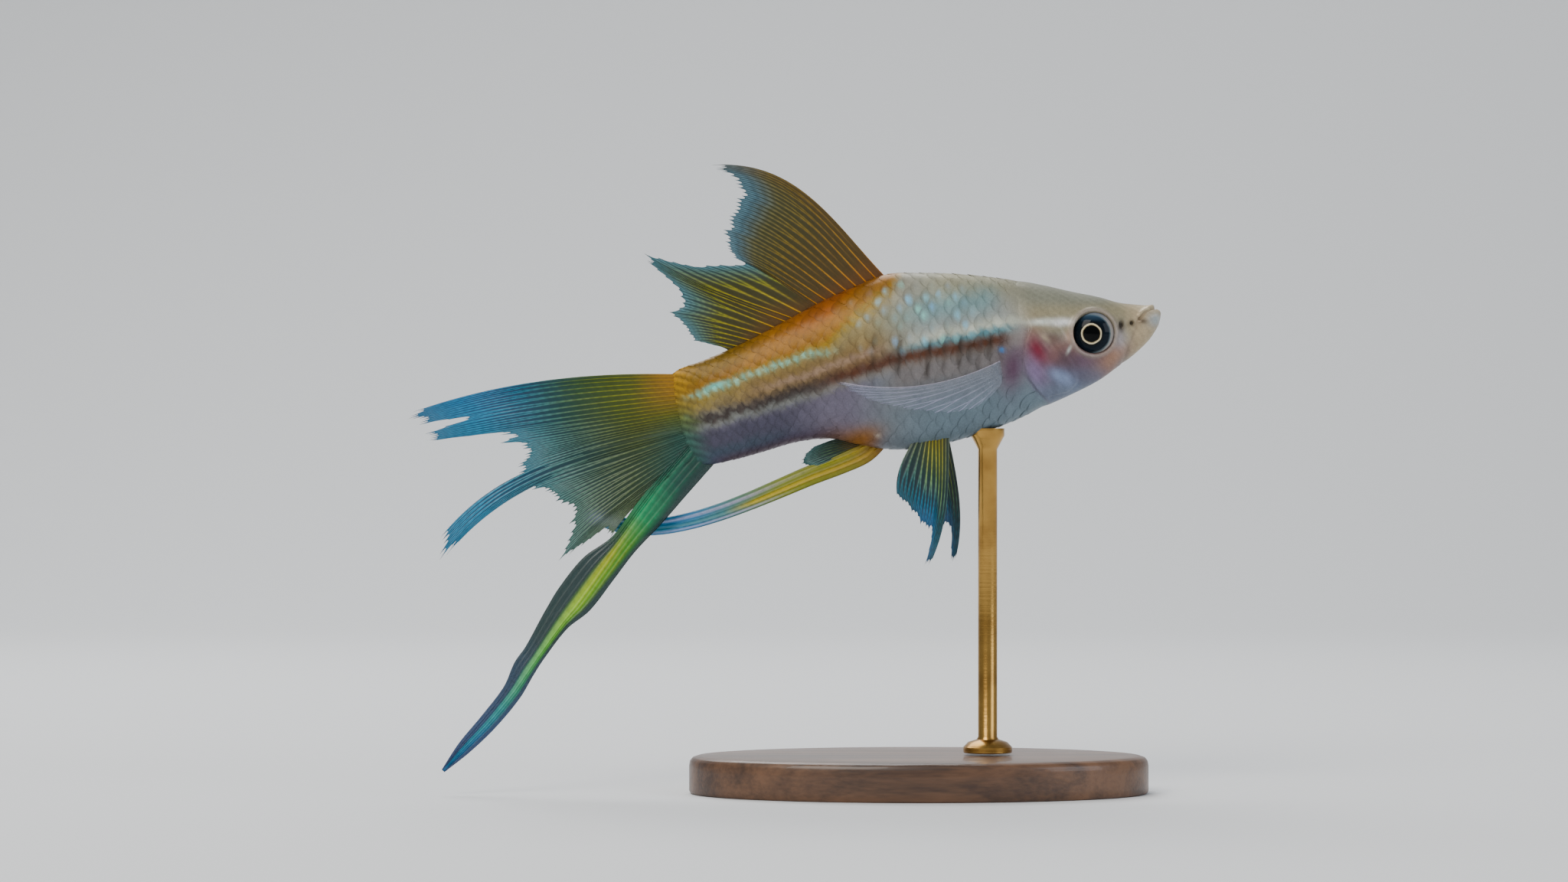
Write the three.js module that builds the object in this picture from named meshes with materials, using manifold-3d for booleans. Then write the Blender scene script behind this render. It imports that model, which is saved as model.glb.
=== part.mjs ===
// A male lyretail swordtail, life size and still, swimming to the right with its head a little raised.
// It is held over an oval base by one rod under the belly. Units are millimetres, +X runs towards the
// snout, +Z is up and -Y is the near, right side of the fish. The origin is the middle of the base's
// underside.
import * as THREE from "three";
import { mergeVertices } from "three/addons/utils/BufferGeometryUtils.js";
import Module from "manifold-3d";

const wasm = await Module();
wasm.setup();

const SEAM = 0.3; // the gap kept between pieces that touch
const CLEAR_SIDE = 9; // a cut to this side distance passes right through the fish
const STATION_STEP = 0.2; // how finely the body is searched along its length

// The body, from the lips back to the root of the tail fin. Each station is a slanting section with its
// point on the back, its point on the belly, its half width, and how far it is fuller above the middle
// (over 0) or below it (under 0).
const BODY = [
  { back: [31.3, 62.9], belly: [31.4, 61.3], half: 1.05, fuller: 0 },
  { back: [30.9, 63.35], belly: [30.9, 60.4], half: 1.65, fuller: 0 },
  { back: [30.0, 63.65], belly: [30.0, 59.1], half: 2.2, fuller: 0.04 },
  { back: [28.0, 63.85], belly: [28.0, 57.2], half: 2.8, fuller: 0.1 },
  { back: [26.0, 64.1], belly: [26.0, 55.7], half: 3.25, fuller: 0.16 },
  { back: [23.5, 64.8], belly: [23.5, 53.9], half: 3.75, fuller: 0.2 },
  { back: [20.0, 65.5], belly: [20.0, 52.1], half: 4.35, fuller: 0.18 },
  { back: [16.0, 66.4], belly: [16.0, 50.3], half: 4.8, fuller: 0.12 },
  { back: [12.0, 67.1], belly: [12.0, 48.4], half: 5.1, fuller: 0.08 },
  { back: [6.0, 67.8], belly: [6.0, 46.3], half: 5.35, fuller: 0.04 },
  { back: [0.0, 68.0], belly: [0.0, 45.0], half: 5.4, fuller: 0.02 },
  { back: [-4.2, 67.8], belly: [-4.0, 44.9], half: 5.2, fuller: 0 },
  { back: [-8.6, 66.1], belly: [-7.8, 45.5], half: 4.8, fuller: 0 },
  { back: [-13.0, 64.1], belly: [-11.6, 46.3], half: 4.35, fuller: 0 },
  { back: [-18.0, 61.4], belly: [-16.0, 45.8], half: 3.85, fuller: 0 },
  { back: [-23.0, 58.8], belly: [-20.5, 44.5], half: 3.25, fuller: 0 },
  { back: [-28.0, 56.6], belly: [-25.0, 43.3], half: 2.5, fuller: 0 },
  { back: [-31.4, 55.4], belly: [-28.4, 42.9], half: 1.6, fuller: 0 },
  { back: [-32.6, 54.6], belly: [-30.2, 43.8], half: 0.75, fuller: 0 },
];
const BODY_SIDES = 24;
const RINGS_PER_STATION = 2;
const BACK_ROUNDING = 0.86; // under 1 makes the sections squarer than an ellipse

// The body bends to its right, ever more towards the tail.
const BEND_START_X = -5;
const BEND = 0.0011;

const EYE = { x: 22.8, z: 60.1, side: 3.25, radius: 2.75, depth: 1.55 };
const ORBIT_RIM = { radius: 2.75, thickness: 0.32, side: 3.7 };
const ORBIT_MOUTH = { side: 5.25, radius: 2.55, depth: 2 }; // clears the flesh in front of the eye
const NOSTRIL_DEPTH = 0.4;
const NOSTRILS = [
  { x: 26.2, z: 61.1, wide: 0.32, high: 0.62 },
  { x: 27.6, z: 61.35, wide: 0.3, high: 0.36 },
];

// The line of the mouth in side view, from the front edge of the lips back to the corner, and the
// lower jaw's hinge line below it.
const MOUTH_LINE = [
  [32.2, 64.3],
  [30.35, 63.2],
  [28.75, 62.15],
  [28.1, 60.6],
  [27.3, 58.3],
  [26.6, 54.5],
];
const UPPER_LIP = { front: [30.45, 63.35], middle: [29.85, 63.05], corner: [28.95, 62.5], thick: 0.36 };
const LOWER_LIP = { front: [31.1, 62.75], middle: [30.2, 62.35], corner: [28.9, 61.6], thick: 0.5 };
const LIP_MIDDLE_SIDE = 1.55;
const LIP_CORNER_SIDE = 2.45;

// The gill opening runs down behind the head, and the gill cover is a raised plate in front of it.
const GILL_LINE = [
  [12.4, 69.5],
  [12.8, 66.0],
  [13.5, 62.6],
  [14.3, 60.6],
  [13.7, 59.0],
  [13.3, 56.8],
  [13.8, 54.6],
  [15.2, 52.6],
  [17.0, 50.9],
  [18.0, 48.0],
];
const GILL_COVER = [
  [11.0, 61.0],
  [14.2, 61.0],
  [17.6, 61.3],
  [19.2, 59.6],
  [19.6, 57.0],
  [20.6, 54.6],
  [20.4, 52.9],
  [17.6, 52.2],
  [11.0, 52.2],
];
const GILL_COVER_MIDDLE = [16, 56.7];
const GILL_COVER_RAISED = 0.22;
const GILL_COVER_INNER = 2.5;

// Where the tail stalk begins, behind the dorsal and anal fins.
const STALK_LINE = [
  [-26.6, 62.0],
  [-26.2, 57.0],
  [-24.0, 50.0],
  [-22.2, 40.0],
];

// Fins: half thickness of the membrane and height of the rays above it, at the root and at the tip.
const MEMBRANE = { root: 0.27, tip: 0.2 };
const RAY_RIDGE = { root: 0.22, tip: 0.06 };
const RAY_SHARE = 0.2; // half width of a ray as a share of the space between rays
const WEB_NOTCH = 0.03; // how far the webbing stops short of the ray tips
const BAND_RAY = 0.13; // half width of a ridge on a band, as a share of its half width

// A ray is its root's share of the fin's base, the tip of its curve in side view, and how far it bows as
// a share of its length. "edge" ends a fin without a ridge, "gap" cuts the web after that ray by that
// share, and "length" is the share of its curve that a short ray beside a long one has.
const DORSAL_FRONT = [
  { at: 0.0, tip: [-27.9, 81.9], bow: 0.13 },
  { at: 0.06, tip: [-26.2, 81.2], bow: 0.105 },
  { at: 0.12, tip: [-24.1, 79.2], bow: 0.085 },
  { at: 0.18, tip: [-24.4, 77.3], bow: 0.07 },
  { at: 0.24, tip: [-25.2, 75.5], bow: 0.058 },
  { at: 0.3, tip: [-25.6, 73.6], bow: 0.048 },
  { at: 0.36, tip: [-25.7, 71.7], bow: 0.04 },
  { at: 0.415, tip: [-24.6, 70.1], bow: 0.034 },
  { at: 0.455, tip: [-22.5, 69.15], bow: 0.03, edge: true },
];
const DORSAL_REAR = [
  { at: 0.475, tip: [-22.5, 68.75], bow: 0.03, edge: true },
  { at: 0.51, tip: [-29.5, 68.8], bow: 0.03 },
  { at: 0.56, tip: [-36.2, 70.7], bow: -0.03 },
  { at: 0.6, tip: [-35.8, 69.6], bow: -0.02 },
  { at: 0.67, tip: [-31.7, 65.9], bow: 0.005, gap: 0.06 },
  { at: 0.74, tip: [-32.6, 62.8], bow: 0.02 },
  { at: 0.81, tip: [-30.8, 60.8], bow: 0.03 },
  { at: 0.88, tip: [-29.6, 59.1], bow: 0.04 },
  { at: 0.97, tip: [-26.0, 58.2], bow: 0.05, edge: true },
];
const DORSAL_BASE = { front: -3.4, rear: -24.6, sunk: 1.3 };

const TAIL_BASE = { top: [-30.6, 54.7], bottom: [-28.0, 43.7] };
const TAIL_UPPER = [
  { at: 0.0, tip: [-66.7, 49.4], bow: 0.05 },
  { at: 0.07, tip: [-66.5, 48.6], bow: 0.046 },
  { at: 0.15, tip: [-65.6, 47.9], bow: 0.035, gap: 0.14 },
  { at: 0.24, tip: [-65.0, 46.7], bow: 0.022 },
  { at: 0.33, tip: [-64.6, 45.9], bow: 0.012 },
  { at: 0.4, tip: [-64.4, 45.4], bow: 0.0, length: 0.72 },
  { at: 0.46, tip: [-52.6, 45.6], bow: 0.0 },
  { at: 0.515, tip: [-51.8, 44.1], bow: 0.012 },
  { at: 0.575, tip: [-52.5, 42.5], bow: 0.03, edge: true },
];
const TAIL_MIDDLE = [
  { at: 0.605, tip: [-63.3, 31.9], bow: 0.1 },
  { at: 0.635, tip: [-62.4, 30.4], bow: 0.092 },
  { at: 0.665, tip: [-61.3, 31.2], bow: 0.078, edge: true },
];
const TAIL_LOWER = [
  { at: 0.69, tip: [-49.8, 39.4], bow: 0.0, edge: true },
  { at: 0.725, tip: [-48.0, 38.5], bow: 0.01 },
  { at: 0.765, tip: [-45.9, 36.8], bow: 0.02 },
  { at: 0.805, tip: [-45.6, 34.6], bow: 0.02 },
  { at: 0.84, tip: [-47.1, 30.2], bow: 0.03 },
  { at: 0.875, tip: [-45.2, 31.4], bow: 0.03 },
  { at: 0.91, tip: [-41.2, 34.3], bow: 0.02, edge: true },
];

// Bands are long narrow fins: stations along the middle line with the width of web above or behind it
// and of web below or before it.
const SWORD = [
  { at: [-28.6, 46.3], rear: 0.9, front: 3.6 },
  { at: [-32.8, 41.4], rear: 1.0, front: 3.5 },
  { at: [-36.0, 37.1], rear: 1.1, front: 3.1 },
  { at: [-39.0, 32.9], rear: 1.2, front: 2.4 },
  { at: [-41.5, 29.3], rear: 2.7, front: 2.2 },
  { at: [-44.5, 25.1], rear: 3.0, front: 2.0 },
  { at: [-46.7, 22.2], rear: 2.6, front: 1.1 },
  { at: [-49.6, 18.1], rear: 2.0, front: 0.9 },
  { at: [-51.0, 16.1], rear: 2.0, front: 1.0 },
  { at: [-53.0, 13.3], rear: 1.3, front: 1.3 },
  { at: [-56.0, 9.6], rear: 1.15, front: 1.25 },
  { at: [-59.2, 6.2], rear: 0.85, front: 1.0 },
  { at: [-61.9, 3.2], rear: 0.2, front: 0.3 },
];
const GONOPODIUM = [
  { at: [-4.6, 46.4], rear: 1.1, front: 1.0 },
  { at: [-7.0, 44.5], rear: 1.35, front: 1.35 },
  { at: [-10.0, 43.1], rear: 1.3, front: 1.35 },
  { at: [-14.0, 41.6], rear: 1.3, front: 1.35 },
  { at: [-18.0, 39.9], rear: 1.25, front: 1.3 },
  { at: [-22.0, 38.2], rear: 1.2, front: 1.2 },
  { at: [-26.0, 36.7], rear: 1.15, front: 1.15 },
  { at: [-30.0, 35.5], rear: 1.15, front: 1.1 },
  { at: [-34.0, 34.8], rear: 1.1, front: 1.1 },
  { at: [-38.0, 34.8], rear: 1.1, front: 1.05 },
  { at: [-41.2, 35.6], rear: 1.0, front: 0.9 },
  { at: [-43.9, 36.6], rear: 0.45, front: 0.45 },
];
const GONOPODIUM_SWING = { from: -9, amount: 0.0036 }; // it trails on the far side of the tail fin

const ANAL_FIN = [
  { at: 0.0, tip: [-11.4, 46.0], bow: 0.02 },
  { at: 0.25, tip: [-13.6, 45.1], bow: 0.02 },
  { at: 0.5, tip: [-15.2, 44.1], bow: 0.015 },
  { at: 0.75, tip: [-15.5, 43.4], bow: 0.01 },
  { at: 1.0, tip: [-13.6, 43.6], bow: 0.01, edge: true },
];
const ANAL_BASE = { top: [-8.6, 46.6], bottom: [-7.6, 45.9] };

const PELVIC_FIN = [
  { at: 0.0, tip: [1.2, 29.8], bow: -0.06 },
  { at: 0.2, tip: [0.5, 29.7], bow: -0.06, gap: 0.08 },
  { at: 0.4, tip: [1.5, 34.3], bow: -0.03 },
  { at: 0.57, tip: [0.1, 35.1], bow: -0.01 },
  { at: 0.75, tip: [-1.4, 37.3], bow: 0.02 },
  { at: 1.0, tip: [-2.9, 38.9], bow: 0.09 },
];
const PELVIC_BASE = { top: [3.9, 46.9], bottom: [-0.5, 46.6], side: 1.9, splay: 0.16 };
const PELVIC_SWING = { right: 0, left: 12.5 }; // degrees forward

const PECTORAL_FIN = [
  { at: 0.0, tip: [-11.4, 53.9], bow: 0.095 },
  { at: 0.09, tip: [-10.8, 53.3], bow: 0.085 },
  { at: 0.19, tip: [-9.3, 52.3], bow: 0.07 },
  { at: 0.3, tip: [-7.4, 51.4], bow: 0.055 },
  { at: 0.41, tip: [-5.0, 50.6], bow: 0.04 },
  { at: 0.52, tip: [-2.1, 50.0], bow: 0.03 },
  { at: 0.64, tip: [1.0, 49.6], bow: 0.02 },
  { at: 0.76, tip: [4.0, 49.5], bow: 0.01 },
  { at: 0.88, tip: [6.8, 50.0], bow: 0.0 },
  { at: 1.0, tip: [9.0, 51.6], bow: 0.0 },
];
const PECTORAL_BASE = { top: [10.9, 56.7], bottom: [10.6, 53.4] };
const PECTORAL_SIDE = { root: 4.7, lift: 1.25, liftLength: 2.2, spread: 0.085 };

const BASE = { length: 60, width: 34, height: 5, bevel: 1.2, sides: 40 };
const ROD = { x: 9, radius: 1.25, sides: 20, top: 49 }; // the top lies inside the belly, which trims it
const FLANGE = { radius: 3.2, edge: 0.84, shoulder: 2.56, height: 1.4, fillet: 0.6 };
const SADDLE = { radius: 2.2, from: 45, to: 46.6 }; // heights between which the rod widens under the belly

const MATERIALS = {
  skin: { color: 0xc4bfae, roughness: 0.35, metalness: 0.1 },
  fin: { color: 0x5a6a2c, roughness: 0.4, metalness: 0 },
  tail: { color: 0x1f5f7a, roughness: 0.4, metalness: 0 },
  clearFin: { color: 0xa9b0bb, roughness: 0.3, metalness: 0 },
  eye: { color: 0x10222c, roughness: 0.08, metalness: 0 },
  wood: { color: 0x4a3324, roughness: 0.5, metalness: 0 },
  brass: { color: 0xb08d57, roughness: 0.3, metalness: 1 },
};

const lerp = (a, b, t) => a + (b - a) * t;
const lerpPoint = (a, b, t) => a.map((value, i) => lerp(value, b[i], t));

// How far the swimming bend carries a point sideways.
const bendAt = (x) => -BEND * Math.max(0, BEND_START_X - x) ** 2;

// A smooth curve through rows of numbers, with tangents that allow for uneven spacing.
function smoothRows(rows, knots) {
  const last = rows.length - 1;
  const slope = (i, j) => {
    const before = Math.max(i - 1, 0);
    const after = Math.min(i + 1, last);
    return (rows[after][j] - rows[before][j]) / (knots[after] - knots[before]);
  };
  return (knot) => {
    let i = 0;
    while (i < last - 1 && knot > knots[i + 1]) i++;
    const span = knots[i + 1] - knots[i];
    const t = (knot - knots[i]) / span;
    const a = (1 + 2 * t) * (1 - t) ** 2;
    const b = t * (1 - t) ** 2 * span;
    const c = t * t * (3 - 2 * t);
    const d = t * t * (t - 1) * span;
    return rows[i].map((value, j) => a * value + b * slope(i, j) + c * rows[i + 1][j] + d * slope(i + 1, j));
  };
}

// Distance along a list of points, as the knots of a smooth curve.
function distances(points) {
  const knots = [0];
  for (let i = 1; i < points.length; i++) {
    const [a, b] = [points[i - 1], points[i]];
    knots.push(knots[i - 1] + Math.hypot(b[0] - a[0], b[1] - a[1]));
  }
  return knots;
}

// Turns vertices and triangles into a solid, with its faces turned outwards.
function solidFrom(vertices, triangles) {
  const geometry = new THREE.BufferGeometry();
  geometry.setAttribute("position", new THREE.Float32BufferAttribute(vertices.flat(), 3));
  geometry.setIndex(triangles.flat());
  return solidOf(geometry);
}

function solidOf(source) {
  const plain = source.index ? source.toNonIndexed() : source.clone();
  plain.deleteAttribute("normal");
  plain.deleteAttribute("uv");
  const merged = mergeVertices(plain, 1e-4);
  const index = merged.index.array;
  const triVerts = new Uint32Array(
    Array.from({ length: index.length / 3 }, (_, i) => [index[3 * i], index[3 * i + 1], index[3 * i + 2]])
      .filter(([a, b, c]) => a !== b && b !== c && a !== c)
      .flat(),
  );
  const vertProperties = new Float32Array(merged.attributes.position.array);
  const make = () => new wasm.Manifold(new wasm.Mesh({ numProp: 3, vertProperties, triVerts }));
  const made = make();
  if (made.volume() >= 0) return made;
  for (let i = 0; i < triVerts.length; i += 3) {
    [triVerts[i + 1], triVerts[i + 2]] = [triVerts[i + 2], triVerts[i + 1]];
  }
  return make();
}

// Keeps the largest closed piece of a cut solid, which drops loose scraps.
const largest = (solid) => solid.decompose().sort((a, b) => b.volume() - a.volume())[0];

// A closed tube through rings of points, with a fan at each end.
function loftRings(rings) {
  const sides = rings[0].length;
  const vertices = rings.flat();
  const triangles = [];
  for (let r = 0; r < rings.length - 1; r++)
    for (let s = 0; s < sides; s++) {
      const [a, b] = [r * sides + s, r * sides + ((s + 1) % sides)];
      const [c, d] = [a + sides, b + sides];
      triangles.push([a, b, d], [a, d, c]);
    }
  for (const [ring, start, flip] of [
    [rings[0], 0, true],
    [rings.at(-1), (rings.length - 1) * sides, false],
  ]) {
    const centre = [0, 1, 2].map((k) => ring.reduce((sum, p) => sum + p[k], 0) / sides);
    vertices.push(centre);
    for (let s = 0; s < sides; s++) {
      const [a, b] = [start + s, start + ((s + 1) % sides)];
      triangles.push(flip ? [vertices.length - 1, b, a] : [vertices.length - 1, a, b]);
    }
  }
  return solidFrom(vertices, triangles);
}

const bodyCurve = (() => {
  const rows = BODY.map((s) => [...s.back, ...s.belly, s.half, s.fuller]);
  const knots = distances(BODY.map((s) => lerpPoint(s.back, s.belly, 0.5)));
  const at = smoothRows(rows, knots);
  return { at, knots, end: knots.at(-1) };
})();

// A ring of the body at a knot, grown outwards by a clearance where another piece meets it.
function bodyRing(knot, grow) {
  const [backX, backZ, bellyX, bellyZ, half, fuller] = bodyCurve.at(knot);
  const height = Math.hypot(backX - bellyX, backZ - bellyZ);
  const along = [(backX - bellyX) / height, (backZ - bellyZ) / height];
  const middle = [(backX + bellyX) / 2, (backZ + bellyZ) / 2];
  return Array.from({ length: BODY_SIDES }, (_, i) => {
    const angle = (2 * Math.PI * i) / BODY_SIDES;
    const up = Math.cos(angle) * (height / 2 + grow);
    const across = Math.sign(Math.sin(angle)) * Math.abs(Math.sin(angle)) ** BACK_ROUNDING;
    const y = across * (half * (1 + fuller * Math.cos(angle)) + grow);
    const x = middle[0] + along[0] * up;
    return [x, y + bendAt(x), middle[1] + along[1] * up];
  });
}

function bodySolid(grow) {
  const knots = [];
  bodyCurve.knots.slice(0, -1).forEach((knot, i) => {
    for (let k = 0; k < RINGS_PER_STATION; k++) {
      knots.push(lerp(knot, bodyCurve.knots[i + 1], k / RINGS_PER_STATION));
    }
  });
  knots.push(bodyCurve.end);
  const rings = knots.map((knot) => bodyRing(knot, grow));
  for (const [ring, push] of [
    [rings[0], grow],
    [rings.at(-1), -grow],
  ])
    ring.forEach((p) => (p[0] += push));
  return loftRings(rings);
}

const body = bodySolid(0);
const bodyClear = bodySolid(SEAM);

// The body's half width on its surface at a place in side view, found by walking the stations.
function sideAt(x, z) {
  let best = { gap: Infinity, side: 0 };
  for (let knot = 0; knot <= bodyCurve.end; knot += STATION_STEP) {
    const [backX, backZ, bellyX, bellyZ, half, fuller] = bodyCurve.at(knot);
    const t = (z - bellyZ) / (backZ - bellyZ);
    if (t <= 0 || t >= 1) continue;
    const gap = Math.abs(lerp(bellyX, backX, t) - x);
    const cosine = 2 * t - 1;
    const side = Math.sqrt(1 - cosine * cosine) ** BACK_ROUNDING * half * (1 + fuller * cosine);
    if (gap < best.gap) best = { gap, side };
  }
  return best.side;
}

// A prism from a closed outline in side view, between two sideways distances.
function prism(outline, from, to) {
  const shape = new THREE.Shape(outline.map(([x, z]) => new THREE.Vector2(x, z)));
  const geometry = new THREE.ExtrudeGeometry(shape, { depth: to - from, bevelEnabled: false });
  geometry.rotateX(Math.PI / 2);
  geometry.translate(0, to, 0);
  return solidOf(geometry);
}

// A thin blade that follows a line in side view and cuts right across the fish.
function blade(line) {
  const offset = (sign) =>
    line.map((point, i) => {
      const a = line[Math.max(i - 1, 0)];
      const b = line[Math.min(i + 1, line.length - 1)];
      const length = Math.hypot(b[0] - a[0], b[1] - a[1]);
      const [dx, dz] = [(b[0] - a[0]) / length, (b[1] - a[1]) / length];
      return [point[0] + (sign * dz * SEAM) / 2, point[1] - (sign * dx * SEAM) / 2];
    });
  return prism([...offset(1), ...offset(-1).reverse()], -CLEAR_SIDE, CLEAR_SIDE);
}

const ellipsoid = (x, y, z, rx, ry, rz, across = 20, down = 12) =>
  solidOf(new THREE.SphereGeometry(1, across, down).rotateX(Math.PI / 2).scale(rx, ry, rz).translate(x, y, z));

// A lip: a round bead along the edge of a jaw, from one corner of the mouth round to the other.
function lip({ front, middle, corner, thick }) {
  const point = ([x, z], side) => new THREE.Vector3(x, side, z);
  const path = new THREE.CatmullRomCurve3([
    point(corner, -LIP_CORNER_SIDE),
    point(middle, -LIP_MIDDLE_SIDE),
    point(front, 0),
    point(middle, LIP_MIDDLE_SIDE),
    point(corner, LIP_CORNER_SIDE),
  ]);
  const section = new THREE.Shape().absarc(0, 0, thick, 0, 2 * Math.PI);
  return solidOf(new THREE.ExtrudeGeometry(section, { steps: 12, curveSegments: 4, extrudePath: path }));
}

function mesh(name, solid, material, group) {
  const { vertProperties, triVerts, numProp } = solid.getMesh();
  const positions = new Float32Array((vertProperties.length / numProp) * 3);
  for (let i = 0; i < positions.length / 3; i++) {
    positions.set(vertProperties.subarray(i * numProp, i * numProp + 3), i * 3);
  }
  const geometry = new THREE.BufferGeometry();
  geometry.setAttribute("position", new THREE.BufferAttribute(positions, 3));
  geometry.setIndex(new THREE.BufferAttribute(new Uint32Array(triVerts), 1));
  geometry.computeVertexNormals();
  const made = new THREE.Mesh(geometry, new THREE.MeshStandardMaterial(MATERIALS[material]));
  made.name = name;
  group.add(made);
}

// Head, jaw, gill covers, trunk and tail stalk, all parted from the one body by thin cuts.
function buildFlesh(group) {
  const front = (solid) => solid.decompose().sort((a, b) => b.boundingBox().max[0] - a.boundingBox().max[0]);
  const [headAndJaw, behind] = front(body.add(lip(UPPER_LIP)).add(lip(LOWER_LIP)).subtract(blade(GILL_LINE)));
  const [trunk, stalk] = front(behind.subtract(blade(STALK_LINE)));
  const jawParts = headAndJaw.subtract(blade(MOUTH_LINE)).decompose();
  const [jaw, wholeHead] = jawParts.sort((a, b) => a.volume() - b.volume()).slice(-2);
  const [raisedHead] = front(bodySolid(GILL_COVER_RAISED).subtract(blade(GILL_LINE)));
  let head = wholeHead;
  for (const [name, sign] of [
    ["right", -1],
    ["left", 1],
  ]) {
    const range = (inner) => (sign < 0 ? [-CLEAR_SIDE, -inner] : [inner, CLEAR_SIDE]);
    const grown = GILL_COVER.map(([x, z]) => {
      const [cx, cz] = GILL_COVER_MIDDLE;
      const reach = Math.hypot(x - cx, z - cz);
      return [x + ((x - cx) / reach) * SEAM, z + ((z - cz) / reach) * SEAM];
    });
    const cover = largest(raisedHead.intersect(prism(GILL_COVER, ...range(GILL_COVER_INNER))));
    head = head.subtract(prism(grown, ...range(GILL_COVER_INNER - SEAM)));
    const rim = solidOf(
      new THREE.TorusGeometry(ORBIT_RIM.radius, ORBIT_RIM.thickness, 6, 24)
        .rotateX(Math.PI / 2)
        .translate(EYE.x, sign * ORBIT_RIM.side, EYE.z),
    );
    head = head.add(rim);
    const socket = EYE.radius + SEAM;
    head = head.subtract(ellipsoid(EYE.x, sign * EYE.side, EYE.z, socket, EYE.depth + SEAM, socket));
    const { side, radius, depth } = ORBIT_MOUTH;
    head = head.subtract(ellipsoid(EYE.x, sign * side, EYE.z, radius, depth, radius));
    for (const { x, z, wide, high } of NOSTRILS) {
      head = head.subtract(ellipsoid(x, sign * sideAt(x, z), z, wide, NOSTRIL_DEPTH, high, 10, 8));
    }
    mesh(`gill_cover_${name}`, cover, "skin", group);
    const eye = ellipsoid(EYE.x, sign * EYE.side, EYE.z, EYE.radius, EYE.depth, EYE.radius, 22, 13);
    mesh(`eye_${name}`, eye, "eye", group);
  }
  mesh("head", largest(head), "skin", group);
  mesh("lower_jaw", jaw, "skin", group);
  mesh("trunk", trunk, "skin", group);
  mesh("tail_stalk", stalk, "skin", group);
}

// A sheet with two faces that are split into triangles alike, closed round its edges.
// point(u, v) is a place in side view, side(x, z) its middle plane and half(v, ridged) its half thickness.
function sheet(columns, rows, point, side, half) {
  const vertices = [];
  for (const sign of [-1, 1])
    for (const v of rows)
      for (const { u, ridged } of columns) {
        const [x, z] = point(u, v);
        vertices.push([x, side(x, z, v) + sign * half(v, ridged), z]);
      }
  const [width, face] = [columns.length, columns.length * rows.length];
  const triangles = [];
  const quad = (a, b, c, d) => triangles.push([a, b, c], [a, c, d]);
  for (let r = 0; r < rows.length - 1; r++)
    for (let c = 0; c < width - 1; c++) {
      const [p, q] = [r * width + c, (r + 1) * width + c];
      triangles.push([p, p + 1, q + 1], [p, q + 1, q]);
      triangles.push([face + p, face + q + 1, face + p + 1], [face + p, face + q, face + q + 1]);
    }
  for (let r = 0; r < rows.length - 1; r++) {
    const [p, q] = [r * width, (r + 1) * width];
    quad(p, q, face + q, face + p);
    quad(p + width - 1, face + p + width - 1, face + q + width - 1, q + width - 1);
  }
  const tip = (rows.length - 1) * width;
  for (let c = 0; c < width - 1; c++) {
    quad(c, face + c, face + c + 1, c + 1);
    quad(tip + c, tip + c + 1, face + tip + c + 1, face + tip + c);
  }
  return solidFrom(vertices, triangles);
}

const evenly = (count) => Array.from({ length: count + 1 }, (_, i) => i / count);
const finHalf = (v, ridged) =>
  lerp(MEMBRANE.root, MEMBRANE.tip, v) + (ridged ? lerp(RAY_RIDGE.root, RAY_RIDGE.tip, v) : 0);

// A fin from its rays: each ray curves from the base to its tip, and webbing fills the space between.
function rayFin({ rays, base, side, rows, skew = 0.4, mirrorBow = 1, place = (p) => p }) {
  const onRay = ({ at, tip, bow }, v) => {
    const root = base(at);
    const [dx, dz] = [tip[0] - root[0], tip[1] - root[1]];
    const swell = 4 * v * (1 - v) * (1 + skew * (2 * v - 1)) * bow * mirrorBow;
    return [root[0] + dx * v + dz * swell, root[1] + dz * v - dx * swell];
  };
  const columns = rays.flatMap(({ edge, gap, length = 1 }, i) => {
    if (edge) return [{ u: i, ridged: false, reach: length }];
    const own = [
      { u: i - RAY_SHARE, ridged: false, reach: length - WEB_NOTCH },
      { u: i, ridged: true, reach: length },
      { u: i + RAY_SHARE, ridged: false, reach: length - WEB_NOTCH },
    ].filter(({ u }) => u >= 0 && u <= rays.length - 1);
    return gap ? [...own, { u: i + 0.5, ridged: false, reach: 1 - gap }] : own;
  });
  const reachOf = new Map(columns.map(({ u, reach }) => [u, reach]));
  const point = (u, v) => {
    const i = Math.min(Math.floor(u), rays.length - 2);
    const reach = lerp(1, reachOf.get(u), v);
    return place(lerpPoint(onRay(rays[i], v * reach), onRay(rays[i + 1], v * reach), u - i));
  };
  return sheet(columns, evenly(rows), point, side, finHalf);
}

// A long narrow fin along a middle line, with ridges at the given places across it. It is grown by a
// clearance where it is to part another fin from itself.
function bandFin({ stations, ridges, rows, side, grow = 0 }) {
  const points = stations.map((s) => s.at);
  const knots = distances(points);
  const at = smoothRows(
    stations.map((s) => [...s.at, s.rear + grow, s.front + grow]),
    knots,
  );
  const end = knots.at(-1);
  const step = 0.1;
  const point = (u, v) => {
    const [x, z, rear, front] = at(v * end);
    const [ax, az] = at(Math.max(v * end - step, 0));
    const [bx, bz] = at(Math.min(v * end + step, end));
    const length = Math.hypot(bx - ax, bz - az);
    const [nx, nz] = [(bz - az) / length, -(bx - ax) / length];
    const reach = u < 0 ? -u * rear : -u * front;
    return [x + nx * reach, z + nz * reach];
  };
  const columns = [{ u: -1, ridged: false }];
  for (const u of ridges) {
    columns.push({ u: u - BAND_RAY, ridged: false }, { u, ridged: true }, { u: u + BAND_RAY, ridged: false });
  }
  columns.push({ u: 1, ridged: false });
  return sheet(columns, evenly(rows), point, side, (v, ridged) => finHalf(v, ridged) + grow);
}

const trimmed = (fin) => largest(fin.subtract(bodyClear));
const medianSide = (x) => bendAt(x);

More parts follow.
